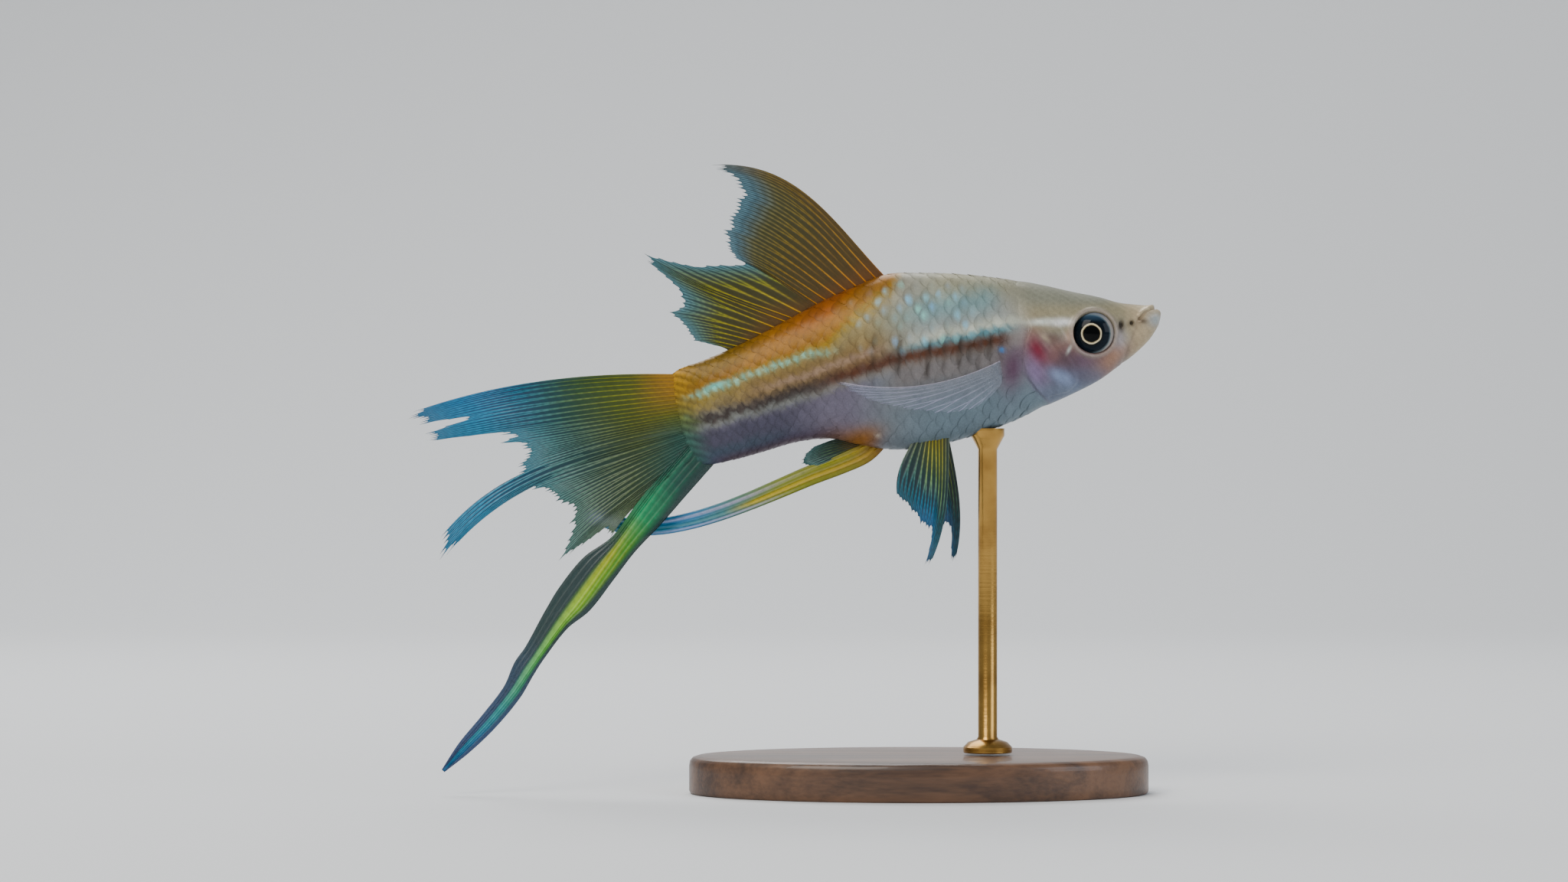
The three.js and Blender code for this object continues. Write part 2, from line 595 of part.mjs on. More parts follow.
function buildMedianFins(group) {
  const back = (x) => {
    let best = [Infinity, 0];
    for (let knot = 0; knot <= bodyCurve.end; knot += STATION_STEP) {
      const [backX, backZ] = bodyCurve.at(knot);
      const gap = Math.abs(backX - x);
      if (gap < best[0]) best = [gap, backZ];
    }
    return best[1];
  };
  const dorsalBase = (share) => {
    const x = lerp(DORSAL_BASE.front, DORSAL_BASE.rear, share);
    return [x, back(x) - DORSAL_BASE.sunk];
  };
  const dorsal = (rays) => rayFin({ rays, base: dorsalBase, side: medianSide, rows: 8, skew: 0.6 });
  mesh("dorsal_fin_front", trimmed(dorsal(DORSAL_FRONT)), "fin", group);
  mesh("dorsal_fin_rear", trimmed(dorsal(DORSAL_REAR)), "fin", group);

  const tailBase = (share) => lerpPoint(TAIL_BASE.top, TAIL_BASE.bottom, share);
  const tail = (rays, rows, skew) => rayFin({ rays, base: tailBase, side: medianSide, rows, skew });
  mesh("tail_fin_upper", trimmed(tail(TAIL_UPPER, 9, 0.1)), "tail", group);
  mesh("tail_fin_middle", trimmed(tail(TAIL_MIDDLE, 12, 0.5)), "tail", group);
  const sword = { stations: SWORD, ridges: [-0.4, 0.35], rows: 24, side: medianSide };
  mesh("tail_fin_sword", trimmed(bandFin(sword)), "fin", group);
  const lower = trimmed(tail(TAIL_LOWER, 7, 0.5)).subtract(bandFin({ ...sword, grow: SEAM }));
  mesh("tail_fin_lower", largest(lower), "tail", group);

  const swung = (x) => bendAt(x) + GONOPODIUM_SWING.amount * Math.max(0, GONOPODIUM_SWING.from - x) ** 2;
  const gonopodium = { stations: GONOPODIUM, ridges: [-0.55, 0.45], rows: 20, side: swung };
  mesh("gonopodium", trimmed(bandFin(gonopodium)), "fin", group);
  const anal = rayFin({
    rays: ANAL_FIN,
    base: (share) => lerpPoint(ANAL_BASE.top, ANAL_BASE.bottom, share),
    side: medianSide,
    rows: 5,
  });
  mesh("anal_fin", largest(trimmed(anal).subtract(bandFin({ ...gonopodium, grow: SEAM }))), "fin", group);
}

function buildPairedFins(group) {
  for (const [name, sign] of [
    ["right", -1],
    ["left", 1],
  ]) {
    const swing = THREE.MathUtils.degToRad(PELVIC_SWING[name]);
    const pivot = lerpPoint(PELVIC_BASE.top, PELVIC_BASE.bottom, 0.5);
    const place = ([x, z]) => {
      const [dx, dz] = [x - pivot[0], z - pivot[1]];
      return [
        pivot[0] + dx * Math.cos(swing) - dz * Math.sin(swing),
        pivot[1] + dx * Math.sin(swing) + dz * Math.cos(swing),
      ];
    };
    const pelvic = rayFin({
      rays: PELVIC_FIN,
      base: (share) => lerpPoint(PELVIC_BASE.top, PELVIC_BASE.bottom, share),
      side: (x, z) => sign * (PELVIC_BASE.side + PELVIC_BASE.splay * (PELVIC_BASE.top[1] - z)),
      rows: 7,
      place,
    });
    mesh(`pelvic_fin_${name}`, trimmed(pelvic), "fin", group);

    const pectoral = rayFin({
      rays: PECTORAL_FIN,
      base: (share) => lerpPoint(PECTORAL_BASE.top, PECTORAL_BASE.bottom, share),
      side: (x) => {
        const reach = Math.max(0, PECTORAL_BASE.top[0] - x);
        const lift = PECTORAL_SIDE.lift * (1 - Math.exp(-reach / PECTORAL_SIDE.liftLength));
        return sign * (PECTORAL_SIDE.root + lift + PECTORAL_SIDE.spread * reach);
      },
      rows: 6,
      mirrorBow: -1,
      skew: 0,
    });
    mesh(`pectoral_fin_${name}`, trimmed(pectoral), "clearFin", group);
  }
}

// An oval wooden base, and a brass rod with a foot flange and a saddle shaped to the belly.
function buildStand(group) {
  const { length, width, height, bevel, sides } = BASE;
  const radius = length / 2;
  const profile = [
    [0, 0],
    [radius - bevel / 3, 0],
    [radius, bevel / 3],
    [radius, height - bevel],
    [radius - bevel * 0.3, height - bevel * 0.3],
    [radius - bevel, height],
    [0, height],
  ].map(([r, z]) => new THREE.Vector2(r, z));
  const oval = new THREE.LatheGeometry(profile, sides).rotateX(Math.PI / 2).scale(1, width / length, 1);
  mesh("stand_base", solidOf(oval), "wood", group);

  const foot = height + SEAM;
  const rodProfile = [
    [0, foot],
    [FLANGE.radius, foot],
    [FLANGE.radius, foot + FLANGE.edge],
    [FLANGE.shoulder, foot + FLANGE.height],
    [ROD.radius, foot + FLANGE.height + FLANGE.fillet],
    [ROD.radius, SADDLE.from],
    [SADDLE.radius, SADDLE.to],
    [SADDLE.radius, ROD.top],
    [0, ROD.top],
  ].map(([r, z]) => new THREE.Vector2(r, z));
  const rod = new THREE.LatheGeometry(rodProfile, ROD.sides).rotateX(Math.PI / 2).translate(ROD.x, 0, 0);
  mesh("stand_rod", largest(solidOf(rod).subtract(bodyClear)), "brass", group);
}

const swordtail = new THREE.Group();
buildFlesh(swordtail);
buildMedianFins(swordtail);
buildPairedFins(swordtail);
buildStand(swordtail);

export default swordtail;
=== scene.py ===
import bpy
import numpy as np
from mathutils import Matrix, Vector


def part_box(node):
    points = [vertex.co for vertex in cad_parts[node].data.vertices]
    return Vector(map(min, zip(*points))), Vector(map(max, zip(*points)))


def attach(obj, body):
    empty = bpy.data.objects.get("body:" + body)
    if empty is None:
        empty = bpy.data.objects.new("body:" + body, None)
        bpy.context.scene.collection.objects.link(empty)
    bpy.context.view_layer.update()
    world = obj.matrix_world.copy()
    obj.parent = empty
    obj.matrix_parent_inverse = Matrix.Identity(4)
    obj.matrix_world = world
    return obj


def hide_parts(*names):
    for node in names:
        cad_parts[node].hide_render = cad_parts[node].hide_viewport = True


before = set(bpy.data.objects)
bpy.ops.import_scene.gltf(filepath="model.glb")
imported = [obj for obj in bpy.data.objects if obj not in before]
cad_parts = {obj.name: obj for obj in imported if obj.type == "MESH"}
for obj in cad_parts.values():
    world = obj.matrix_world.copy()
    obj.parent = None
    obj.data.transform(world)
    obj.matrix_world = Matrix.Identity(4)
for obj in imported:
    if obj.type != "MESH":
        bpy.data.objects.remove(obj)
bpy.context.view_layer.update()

# The studio
# A pale paper sweep that curves up behind the model, a large soft light over the camera's left
# shoulder, a weaker one from the right and one from behind that lights the fins through.


def linear(code):
    """An sRGB hex colour as linear RGBA, fully opaque."""
    channels = [int(code[i : i + 2], 16) / 255 for i in (1, 3, 5)]
    return [c / 12.92 if c <= 0.04045 else ((c + 0.055) / 1.055) ** 2.4 for c in channels] + [1.0]


def start_material(name, values):
    """A new material, its node tree and its shader, whose sockets get the values that are even all over."""
    made = bpy.data.materials.new(name)
    made.use_nodes = True
    shader = made.node_tree.nodes["Principled BSDF"]
    for socket, value in values.items():
        shader.inputs[socket].default_value = value
    return made, made.node_tree, shader


def shape_grid(name, across, along, place, paint=None):
    """A grid primitive whose points are moved to place(u, v), in mm, and welded where they meet.

    u and v run from 0 to 1. paint(u, v, points) gives each point a linear RGBA colour."""
    bpy.ops.object.select_all(action="DESELECT")
    bpy.ops.mesh.primitive_grid_add(x_subdivisions=across, y_subdivisions=along, size=1)
    piece = bpy.context.object
    piece.name = piece.data.name = name
    vertices = piece.data.vertices
    flat = np.empty(len(vertices) * 3)
    vertices.foreach_get("co", flat)
    u, v = flat.reshape(-1, 3)[:, :2].T + 0.5
    points = np.stack(place(u, v), axis=1)
    vertices.foreach_set("co", (points / 1000).ravel())
    if paint:
        colours = piece.data.attributes.new("paint", "FLOAT_COLOR", "POINT")
        colours.data.foreach_set("color", paint(u, v, points).ravel())
    piece.data.uv_layers[0].name = "OFBake"
    bpy.ops.object.mode_set(mode="EDIT")
    bpy.ops.mesh.select_all(action="SELECT")
    bpy.ops.mesh.remove_doubles(threshold=1e-6)
    bpy.ops.mesh.normals_make_consistent(inside=False)
    bpy.ops.object.mode_set(mode="OBJECT")
    bpy.ops.object.shade_smooth()
    return piece


SWEEP_WIDTH, SWEEP_FRONT, SWEEP_BACK, SWEEP_CURVE, SWEEP_TOP = 4000, -1500, 500, 300, 1500


def sweep_point(u, v):
    """Along the floor, round a quarter circle and up the wall."""
    floor, arc = SWEEP_BACK - SWEEP_FRONT, SWEEP_CURVE * np.pi / 2
    s = v * (floor + arc + SWEEP_TOP)
    turn = np.clip((s - floor) / SWEEP_CURVE, 0, np.pi / 2)
    y = SWEEP_FRONT + np.minimum(s, floor) + SWEEP_CURVE * np.sin(turn)
    z = SWEEP_CURVE * (1 - np.cos(turn)) + np.maximum(0, s - floor - arc)
    return (u - 0.5) * SWEEP_WIDTH, y, z


sweep = shape_grid("backdrop", 4, 160, sweep_point)
# Matte background paper: even and pale, with no shine.
paper, _, _ = start_material(
    "matte background paper", {"Base Color": linear("#dfe1e3"), "Roughness": 0.9}
)
sweep.data.materials.append(paper)

for place, aim, size, watts, colour in [
    ((-0.45, -0.75, 0.75), (-0.01, 0, 0.045), 0.6, 9.0, "#fffaf2"),
    ((0.75, -0.45, 0.35), (-0.01, 0, 0.045), 0.5, 2.6, "#eef4ff"),
    ((-0.15, 0.35, 0.55), (-0.02, 0, 0.05), 0.45, 3.4, "#ffffff"),
]:
    bpy.ops.object.light_add(type="AREA", location=place)
    lamp = bpy.context.object
    lamp.data.size = size
    lamp.data.energy = watts
    lamp.data.color = linear(colour)[:3]
    away = np.subtract(place, aim)
    lamp.rotation_euler = (
        np.arctan2(np.hypot(*away[:2]), away[2]), 0, np.arctan2(away[1], away[0]) + np.pi / 2
    )

world = bpy.data.worlds.new("studio air")
bpy.context.scene.world = world
world.use_nodes = True
world.node_tree.nodes["Background"].inputs["Color"].default_value = linear("#eef2f6")
world.node_tree.nodes["Background"].inputs["Strength"].default_value = 0.45

# The camera looks level at the model's side, and its picture takes in VIEW_WIDTH metres there.
VIEW_X, VIEW_Z, VIEW_DISTANCE, VIEW_WIDTH = -0.0176, 0.046, 0.6, 0.2048
SENSOR_WIDTH = 36
bpy.ops.object.camera_add(location=(VIEW_X, -VIEW_DISTANCE, VIEW_Z), rotation=(np.pi / 2, 0, 0))
camera = bpy.context.object
camera.data.sensor_width = SENSOR_WIDTH
camera.data.lens = SENSOR_WIDTH * VIEW_DISTANCE / VIEW_WIDTH
bpy.context.scene.camera = camera

# The display base
# An oval of walnut, sawn, rounded over at the upper edge and oiled. It stands flat on the table, and
# its weight keeps the long tail from tipping the model.

BASE_LENGTH, BASE_WIDTH, BASE_HEIGHT = 60, 34, 5
# reach as a share of the oval, and height in mm
base_profile = np.array(
    [
        (0, 0), (0.985, 0), (0.995, 0.12), (1, 0.4), (1, 3.7),
        (0.996, 4.3), (0.985, 4.7), (0.962, 4.93), (0.93, BASE_HEIGHT), (0, BASE_HEIGHT),
    ]
)


def read_profile(profile, u, v):
    """Reach and height of a round profile by v, and the turn round it by u."""
    steps = np.linspace(0, 1, len(profile))
    reach, height = (np.interp(v, steps, profile[:, k]) for k in (0, 1))
    return reach, height, 2 * np.pi * np.where(u >= 1, 0, u)


def base_point(u, v):
    """Round the oval by u and over its profile by v."""
    reach, height, turn = read_profile(base_profile, u, v)
    return reach * BASE_LENGTH / 2 * np.cos(turn), reach * BASE_WIDTH / 2 * np.sin(turn), height


base = shape_grid("display_base", 160, 27, base_point)
bpy.ops.object.shade_smooth_by_angle(angle=np.radians(50))
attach(base, "root")
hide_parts("stand_base")


def add(tree, kind, inputs=(), **settings):
    """Adds a node with its settings, and gives its inputs their values or links."""
    made = tree.nodes.new(kind)
    for name, value in settings.items():
        setattr(made, name, value)
    for name, value in dict(inputs).items():
        if isinstance(value, bpy.types.NodeSocket):
            tree.links.new(value, made.inputs[name])
        else:
            made.inputs[name].default_value = value
    return made


# Oiled walnut: brown and satin. Its growth lines lie 1 to 3 mm apart along the board, uneven in width,
# and fine open pores about 0.3 mm wide run along them.
walnut, tree, shader = start_material("oiled walnut", {"Roughness": 0.42, "Coat Weight": 0.2})
where = add(tree, "ShaderNodeTexCoord").outputs["Object"]
board = add(tree, "ShaderNodeMapping", {"Vector": where, "Scale": (22, 330, 200)})
growth = add(
    tree, "ShaderNodeTexNoise", {"Vector": board.outputs[0], "Scale": 1, "Detail": 5, "Distortion": 0.6}
)
fine = add(tree, "ShaderNodeMapping", {"Vector": where, "Scale": (240, 3200, 2400)})
pores = add(tree, "ShaderNodeTexNoise", {"Vector": fine.outputs[0], "Scale": 1, "Detail": 2})
shade = add(
    tree, "ShaderNodeMath", {0: pores.outputs["Fac"], 1: 0.3, 2: growth.outputs["Fac"]},
    operation="MULTIPLY_ADD"
)
tone = add(tree, "ShaderNodeValToRGB", {"Fac": shade.outputs[0]})
tone.color_ramp.elements[0].color = linear("#3a2517")
tone.color_ramp.elements[0].position = 0.48
tone.color_ramp.elements[1].color = linear("#6b4a31")
tone.color_ramp.elements[1].position = 0.82
tree.links.new(tone.outputs["Color"], shader.inputs["Base Color"])
dents = add(tree, "ShaderNodeBump", {"Height": pores.outputs["Fac"], "Strength": 0.15, "Distance": 0.0002})
tree.links.new(dents.outputs["Normal"], shader.inputs["Normal"])
base.data.materials.append(walnut)

# The rod
# A turned brass rod with a foot flange that sits on the base and a small saddle, hollowed to the
# belly, that carries the fish just ahead of the pelvic fins.

ROD_X, ROD_RADIUS, FLANGE, SADDLE = 9, 1.25, 3.2, 2.2
SADDLE_FOOT = 44.9  # where the rod starts to widen, in mm above the table
rod_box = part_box("stand_rod")
rod_foot, rod_top = rod_box[0][2] * 1000, rod_box[1][2] * 1000
# distance from the rod's middle and height, in mm
rod_profile = np.array(
    [
        (0, rod_foot),
        (FLANGE - 0.1, rod_foot),
        (FLANGE, rod_foot + 0.1),
        (FLANGE, rod_foot + 0.75),
        (FLANGE - 0.15, rod_foot + 0.9),
        (FLANGE * 0.8, rod_foot + 1.4),
        (ROD_RADIUS + 0.2, rod_foot + 1.75),
        (ROD_RADIUS, rod_foot + 2.1),
        (ROD_RADIUS, SADDLE_FOOT),
        (ROD_RADIUS + 0.15, SADDLE_FOOT + 0.3),
        (SADDLE - 0.1, SADDLE_FOOT + 1.6),
        (SADDLE, SADDLE_FOOT + 1.8),
        (SADDLE, rod_top - 0.3),
        (0, rod_top - 0.6),
    ]
)


def rod_point(u, v):
    """Round the rod by u and up its profile by v."""
    reach, height, turn = read_profile(rod_profile, u, v)
    return ROD_X + reach * np.cos(turn), reach * np.sin(turn), height


rod = shape_grid("display_rod", 64, len(rod_profile) - 1, rod_point)
bpy.ops.object.shade_smooth_by_angle(angle=np.radians(35))
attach(rod, "root")
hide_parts("stand_rod")

# Turned brass: yellow metal with fine rings left by the tool, a little darker where it has tarnished.
# The rings are drawn 0.2 mm apart, coarser than real ones, so that they show.
brass, tree, shader = start_material("turned brass", {"Metallic": 1, "Roughness": 0.26})
where = add(tree, "ShaderNodeTexCoord").outputs["Object"]
turned = add(tree, "ShaderNodeMapping", {"Vector": where, "Scale": (60, 60, 5000)})
marks = add(tree, "ShaderNodeTexNoise", {"Vector": turned.outputs[0], "Scale": 1, "Detail": 2})
tarnish = add(tree, "ShaderNodeTexNoise", {"Vector": where, "Scale": 220, "Detail": 3})
tone = add(tree, "ShaderNodeValToRGB", {"Fac": tarnish.outputs["Fac"]})
tone.color_ramp.elements[0].color = linear("#8f6a34")
tone.color_ramp.elements[0].position = 0.3
tone.color_ramp.elements[1].color = linear("#b58d49")
tone.color_ramp.elements[1].position = 0.6
tree.links.new(tone.outputs["Color"], shader.inputs["Base Color"])
rings = add(tree, "ShaderNodeBump", {"Height": marks.outputs["Fac"], "Strength": 0.35, "Distance": 0.00005})
tree.links.new(rings.outputs["Normal"], shader.inputs["Normal"])
rod.data.materials.append(brass)

# The skin
# One skin from lips to tail root, as a moulder would cast it: the gill covers stand proud of it, the
# mouth, nostrils and eye sockets are sunk in it, and behind the gills it lies under the scales.

BODY = np.array(
    [
        # back x, back z, belly x, belly z, half width, fuller above the middle
        (31.3, 62.9, 31.4, 61.3, 1.05, 0),
        (30.9, 63.35, 30.9, 60.4, 1.65, 0),
        (30.0, 63.65, 30.0, 59.1, 2.2, 0.04),
        (28.0, 63.85, 28.0, 57.2, 2.8, 0.1),
        (26.0, 64.1, 26.0, 55.7, 3.25, 0.16),
        (23.5, 64.8, 23.5, 53.9, 3.75, 0.2),
        (20.0, 65.5, 20.0, 52.1, 4.35, 0.18),
        (16.0, 66.4, 16.0, 50.3, 4.8, 0.12),
        (12.0, 67.1, 12.0, 48.4, 5.1, 0.08),
        (6.0, 67.8, 6.0, 46.3, 5.35, 0.04),
        (0.0, 68.0, 0.0, 45.0, 5.4, 0.02),
        (-4.2, 67.8, -4.0, 44.9, 5.2, 0),
        (-8.6, 66.1, -7.8, 45.5, 4.8, 0),
        (-13.0, 64.1, -11.6, 46.3, 4.35, 0),
        (-18.0, 61.4, -16.0, 45.8, 3.85, 0),
        (-23.0, 58.8, -20.5, 44.5, 3.25, 0),
        (-28.0, 56.6, -25.0, 43.3, 2.2, 0),
        (-31.4, 55.4, -28.4, 42.9, 0.8, 0),
        (-32.6, 54.6, -30.2, 43.8, 0.25, 0),
    ]
)
BACK_ROUNDING = 0.86
BEND_START_X, BEND = -5, 0.0011

body_middle = (BODY[:, 0:2] + BODY[:, 2:4]) / 2
body_knots = np.concatenate([[0], np.cumsum(np.hypot(*np.diff(body_middle, axis=0).T))])
body_length = body_knots[-1]


def smooth_rows(rows, knots, at):
    """Rows of numbers read smoothly between their knots."""
    numbers = np.arange(len(rows))
    before = np.maximum(numbers - 1, 0)
    after = np.minimum(numbers + 1, len(rows) - 1)
    slopes = (rows[after] - rows[before]) / (knots[after] - knots[before])[:, None]
    i = np.clip(np.searchsorted(knots, at, side="right") - 1, 0, len(knots) - 2)
    span = (knots[i + 1] - knots[i])[:, None]
    t = (at - knots[i])[:, None] / span
    return (
        (1 + 2 * t) * (1 - t) ** 2 * rows[i]
        + t * (1 - t) ** 2 * span * slopes[i]
        + t * t * (3 - 2 * t) * rows[i + 1]
        + t * t * (t - 1) * span * slopes[i + 1]
    )


def bend(x):
    """How far the swimming bend carries a point towards the fish's right."""
    return -BEND * np.maximum(0, BEND_START_X - x) ** 2


def body_point(along, angle):
    """A place on the body: along its middle in mm, and round it from the back by its left side."""
    back_x, back_z, belly_x, belly_z, half, fuller = smooth_rows(BODY, body_knots, along).T
    height = np.hypot(back_x - belly_x, back_z - belly_z)
    up = np.cos(angle) * height / 2
    across = np.sign(np.sin(angle)) * np.abs(np.sin(angle)) ** BACK_ROUNDING
    x = (back_x + belly_x) / 2 + (back_x - belly_x) / height * up
    z = (back_z + belly_z) / 2 + (back_z - belly_z) / height * up
    return np.stack([x, across * half * (1 + fuller * np.cos(angle)) + bend(x), z], axis=1)


def body_normal(along, angle):
    """The outward direction of the body's surface."""
    step = 0.02
    inner = np.clip(along, step, body_length - step)
    tangent_a = body_point(inner + step, angle) - body_point(inner - step, angle)
    tangent_b = body_point(inner, angle + step) - body_point(inner, angle - step)
    normal = np.cross(tangent_b, tangent_a)
    return normal / np.linalg.norm(normal, axis=1)[:, None]


def smooth(value, low, high):
    """0 below low and 1 above high, with a soft step between."""
    t = np.clip((value - low) / (high - low), 0, 1)
    return t * t * (3 - 2 * t)


def hill(distance, width):
    """1 at no distance, falling off softly over width."""
    return np.exp(-((distance / width) ** 2))


def line_distance(x, z, line):
    """How far places in side view are from a broken line."""
    best = np.full(len(x), np.inf)
    for (ax, az), (bx, bz) in zip(line, line[1:]):
        t = np.clip(((x - ax) * (bx - ax) + (z - az) * (bz - az)) / ((bx - ax) ** 2 + (bz - az) ** 2), 0, 1)
        best = np.minimum(best, np.hypot(x - ax - t * (bx - ax), z - az - t * (bz - az)))
    return best


# the eye's middle, its radius and its distance from the middle plane, in mm
EYE_X, EYE_Z, EYE_RADIUS, EYE_SIDE = 22.6, 60.05, 2.65, 3.25
# lines of the head in side view, as x and z in mm
GILL_EDGE = np.array(
    [
        (18.0, 48.0), (17.0, 50.9), (15.2, 52.6), (13.8, 54.6), (13.3, 56.8),
        (13.7, 59.0), (14.3, 60.6), (13.5, 62.6), (12.8, 66.0), (12.4, 69.5),
    ]
)
COVER_FRONT = np.array(
    [
        (17.0, 51.8), (19.6, 52.4), (20.6, 53.6), (20.5, 54.8),
        (19.6, 57.0), (19.3, 59.2), (18.2, 60.9), (14.5, 61.6),
    ]
)
MOUTH = [(31.6, 63.55), (30.35, 63.2), (29.4, 62.75), (28.6, 61.9)]
JAW_HINGE = [(28.6, 61.9), (28.1, 60.6), (27.3, 58.3), (26.6, 56.2)]
UPPER_LIP = [(31.0, 63.75), (29.9, 63.2), (28.8, 62.5)]
LOWER_LIP = [(31.4, 62.6), (30.2, 62.2), (28.9, 61.5)]
COVER_SEAM = [(17.9, 60.4), (16.2, 57.6), (15.8, 54.9)]
CHEEK_SEAM = [(24.6, 57.2), (22.6, 56.4), (21.2, 57.3), (20.2, 59.5)]
# x, z, half width and half height
NOSTRILS = [(26.2, 61.1, 0.3, 0.55), (27.6, 61.35, 0.28, 0.34)]
UNDER_SCALES = 0.2  # how much lower the skin lies where scales cover it


def behind_gill(x, z):
    """How far a place is behind the edge of the gill opening, in mm."""
    return np.interp(z, GILL_EDGE[:, 1], GILL_EDGE[:, 0]) - x


def relief(x, y, z):
    """How far the skin stands out of the plain body, in mm."""
    side = np.abs(y - bend(x))
    behind = behind_gill(x, z)
    # the gill cover's plate, the slit behind it and the seams in it
    opening = smooth(z, 51.0, 52.5) * smooth(-z, -62.3, -61.0) * smooth(side, 1.2, 2.4)
    cover_front = np.interp(z, COVER_FRONT[:, 1], COVER_FRONT[:, 0])
    out = 0.13 * opening * smooth(-behind, 0, 0.16) * smooth(cover_front - x, -0.1, 0.45)
    out -= 0.14 * opening * hill(behind - 0.15, 0.6) * (behind > 0)
    out -= 0.08 * opening * hill(cover_front - x + 0.2, 0.22)
    out -= 0.05 * hill(line_distance(x, z, COVER_SEAM), 0.25) * opening
    out -= 0.06 * hill(line_distance(x, z, CHEEK_SEAM), 0.3)
    # the rim and the hollow of the eye socket
    away = np.hypot(x - EYE_X, z - EYE_Z)
    out += 0.34 * hill(away - EYE_RADIUS - 0.3, 0.34)
    out -= 1.9 * smooth(-away, -EYE_RADIUS - 0.1, -EYE_RADIUS + 0.25)
    # the lips, the mouth between them and the crease of the jaw
    out += 0.28 * hill(line_distance(x, z, UPPER_LIP), 0.36)
    out += 0.34 * hill(line_distance(x, z, LOWER_LIP), 0.5)
    out -= 0.34 * hill(line_distance(x, z, MOUTH), 0.15)
    out -= 0.07 * hill(line_distance(x, z, JAW_HINGE), 0.3)
    for nostril_x, nostril_z, wide, high in NOSTRILS:
        off = np.hypot((x - nostril_x) / wide, (z - nostril_z) / high)
        out += (0.08 * hill(off - 1.25, 0.35) - 0.42 * hill(off, 0.75)) * (side > 0.8)
    return out - UNDER_SCALES * smooth(behind, -0.4 - 0.3 * np.maximum(0, z - 62), 2.2)


# The markings, and the glints and shade painted among them, go on by place in side view, on skin and
# scales alike: an orange back from the dorsal fin to the tail, a pale glinting line over a brown stripe,
# bars on the flank, a silver belly.
BACK_EDGE = np.array(
    [
        (-29.4, 51.6), (-26, 53.3), (-21, 55.2), (-15, 57.5), (-11.8, 59.0),
        (-9.9, 61.3), (-6.7, 63.9), (-3.6, 66.3), (-1.8, 69),
    ]
)
STRIPE = np.array(
    [
        (-32, 47.6), (-27, 49.0), (-20.6, 50.9), (-14.4, 52.7), (-9.7, 54.5),
        (-3.4, 56.5), (2.8, 57.8), (9, 58.8), (13, 59.7),
    ]
)
# x, strength, lower end and upper end of each thin dark bar
FLANK_BARS = [
    (-6.2, 0.4, 54.5, 60), (-2.8, 0.65, 54.5, 59.8), (1.0, 0.75, 54, 59),
    (3.1, 0.35, 55, 60.5), (5.0, 0.7, 55.5, 59.5), (6.3, 0.45, 56, 59.5),
    (7.6, 0.4, 55, 60), (8.8, 0.65, 56.5, 60), (10.4, 0.4, 56.5, 60.5),
]
# colour, x, z, half length, half height, strength, and lean where it has one
HEAD_SPOTS_GLINTS_AND_SHADE = [
    ("#ac8872", 25.4, 57.0, 2.6, 1.2, 0.85, 0.6),
    ("#625064", 21.0, 56.6, 2.5, 1.5, 0.8),
    # the next row is partly the dark skin of the gill opening and partly painted shadow under the rear edge
    # of the gill cover
    ("#5c3c54", 12.0, 55.4, 1.6, 3.2, 0.9, -0.1),
    ("#4c3c48", 18.6, 56.6, 1.6, 1.7, 0.7),
    ("#7c2c3c", 15.2, 57.7, 1.6, 2.9, 1.0, 0.35),
    ("#5e4038", 17.2, 59.3, 1.3, 0.9, 0.7),
    ("#8f7fa2", 15.0, 55.0, 1.0, 2.0, 0.7, 0.4),
    ("#92a4c6", 18.4, 54.3, 1.9, 0.8, 0.8, -0.45),
    # the next two rows are painted glints: white highlights along the top of the gill cover
    ("#ffffff", 18.4, 61.4, 1.5, 0.48, 0.95, 0.06),
    ("#f0f6ee", 15.8, 61.45, 1.9, 0.42, 0.8, 0.06),
    ("#c4b49c", 16.2, 59.4, 0.7, 0.3, 0.6, -0.7),
    ("#e6ece4", 19.4, 57.9, 0.2, 0.6, 0.7, -0.5),
    ("#d0a890", 19.8, 59.6, 0.9, 0.8, 0.85),
    ("#b2aab4", 26.0, 59.6, 0.8, 1.6, 0.5),
    # the next row is a painted glint: a pale highlight along the upper lip
    ("#d9cdb0", 29.4, 63.3, 1.6, 0.4, 0.6),
    ("#b4c0c6", 30.8, 61.8, 1.0, 0.9, 0.8),
    # the next three rows are painted shade: dark in the two nostrils and in the corner of the mouth
    ("#2a2420", 26.2, 60.95, 0.5, 0.85, 0.95),
    ("#2a2420", 27.6, 61.3, 0.46, 0.46, 0.9),
    ("#4a3c32", 29.0, 61.6, 0.6, 0.36, 0.85),
]
GLINT = np.array(
    [
        (-31, 51.4), (-26, 53.0), (-21, 54.9), (-15, 57.0), (-9, 58.0),
        (-2, 58.7), (4.4, 60.0), (9, 61.0), (13.7, 61.6),
    ]
)


def pigment(code):
    """An sRGB hex colour as a linear RGB array."""
    return np.array(linear(code)[:3])


def tint(stops, at):
    """Linear colours read along stops of (position, hex)."""
    table = np.array([pigment(code) for _, code in stops])
    return np.stack([np.interp(at, [p for p, _ in stops], table[:, k]) for k in range(3)], axis=1)


def mix(first, second, amount):
    """First where amount is 0, and second where it is 1."""
    return first + (second - first) * np.clip(amount, 0, 1)[:, None]


def deepen(colour, depth=0.76, purity=1.16):
    """Paint mixed deeper and purer, because soft studio light makes it look paler."""
    grey = colour.mean(axis=1, keepdims=True)
    return np.clip(grey + (colour - grey) * purity, 0.002, 1) * depth


def tail_root(z):
    """The colours where the flesh gives way to the tail fin's rays, from its lower to its upper edge."""
    return tint(
        [(0, "#1f4a42"), (0.3, "#2f5248"), (0.5, "#56602c"), (0.75, "#8c6c0c"), (1, "#a87c08")],
        (z - 43) / 12
    )


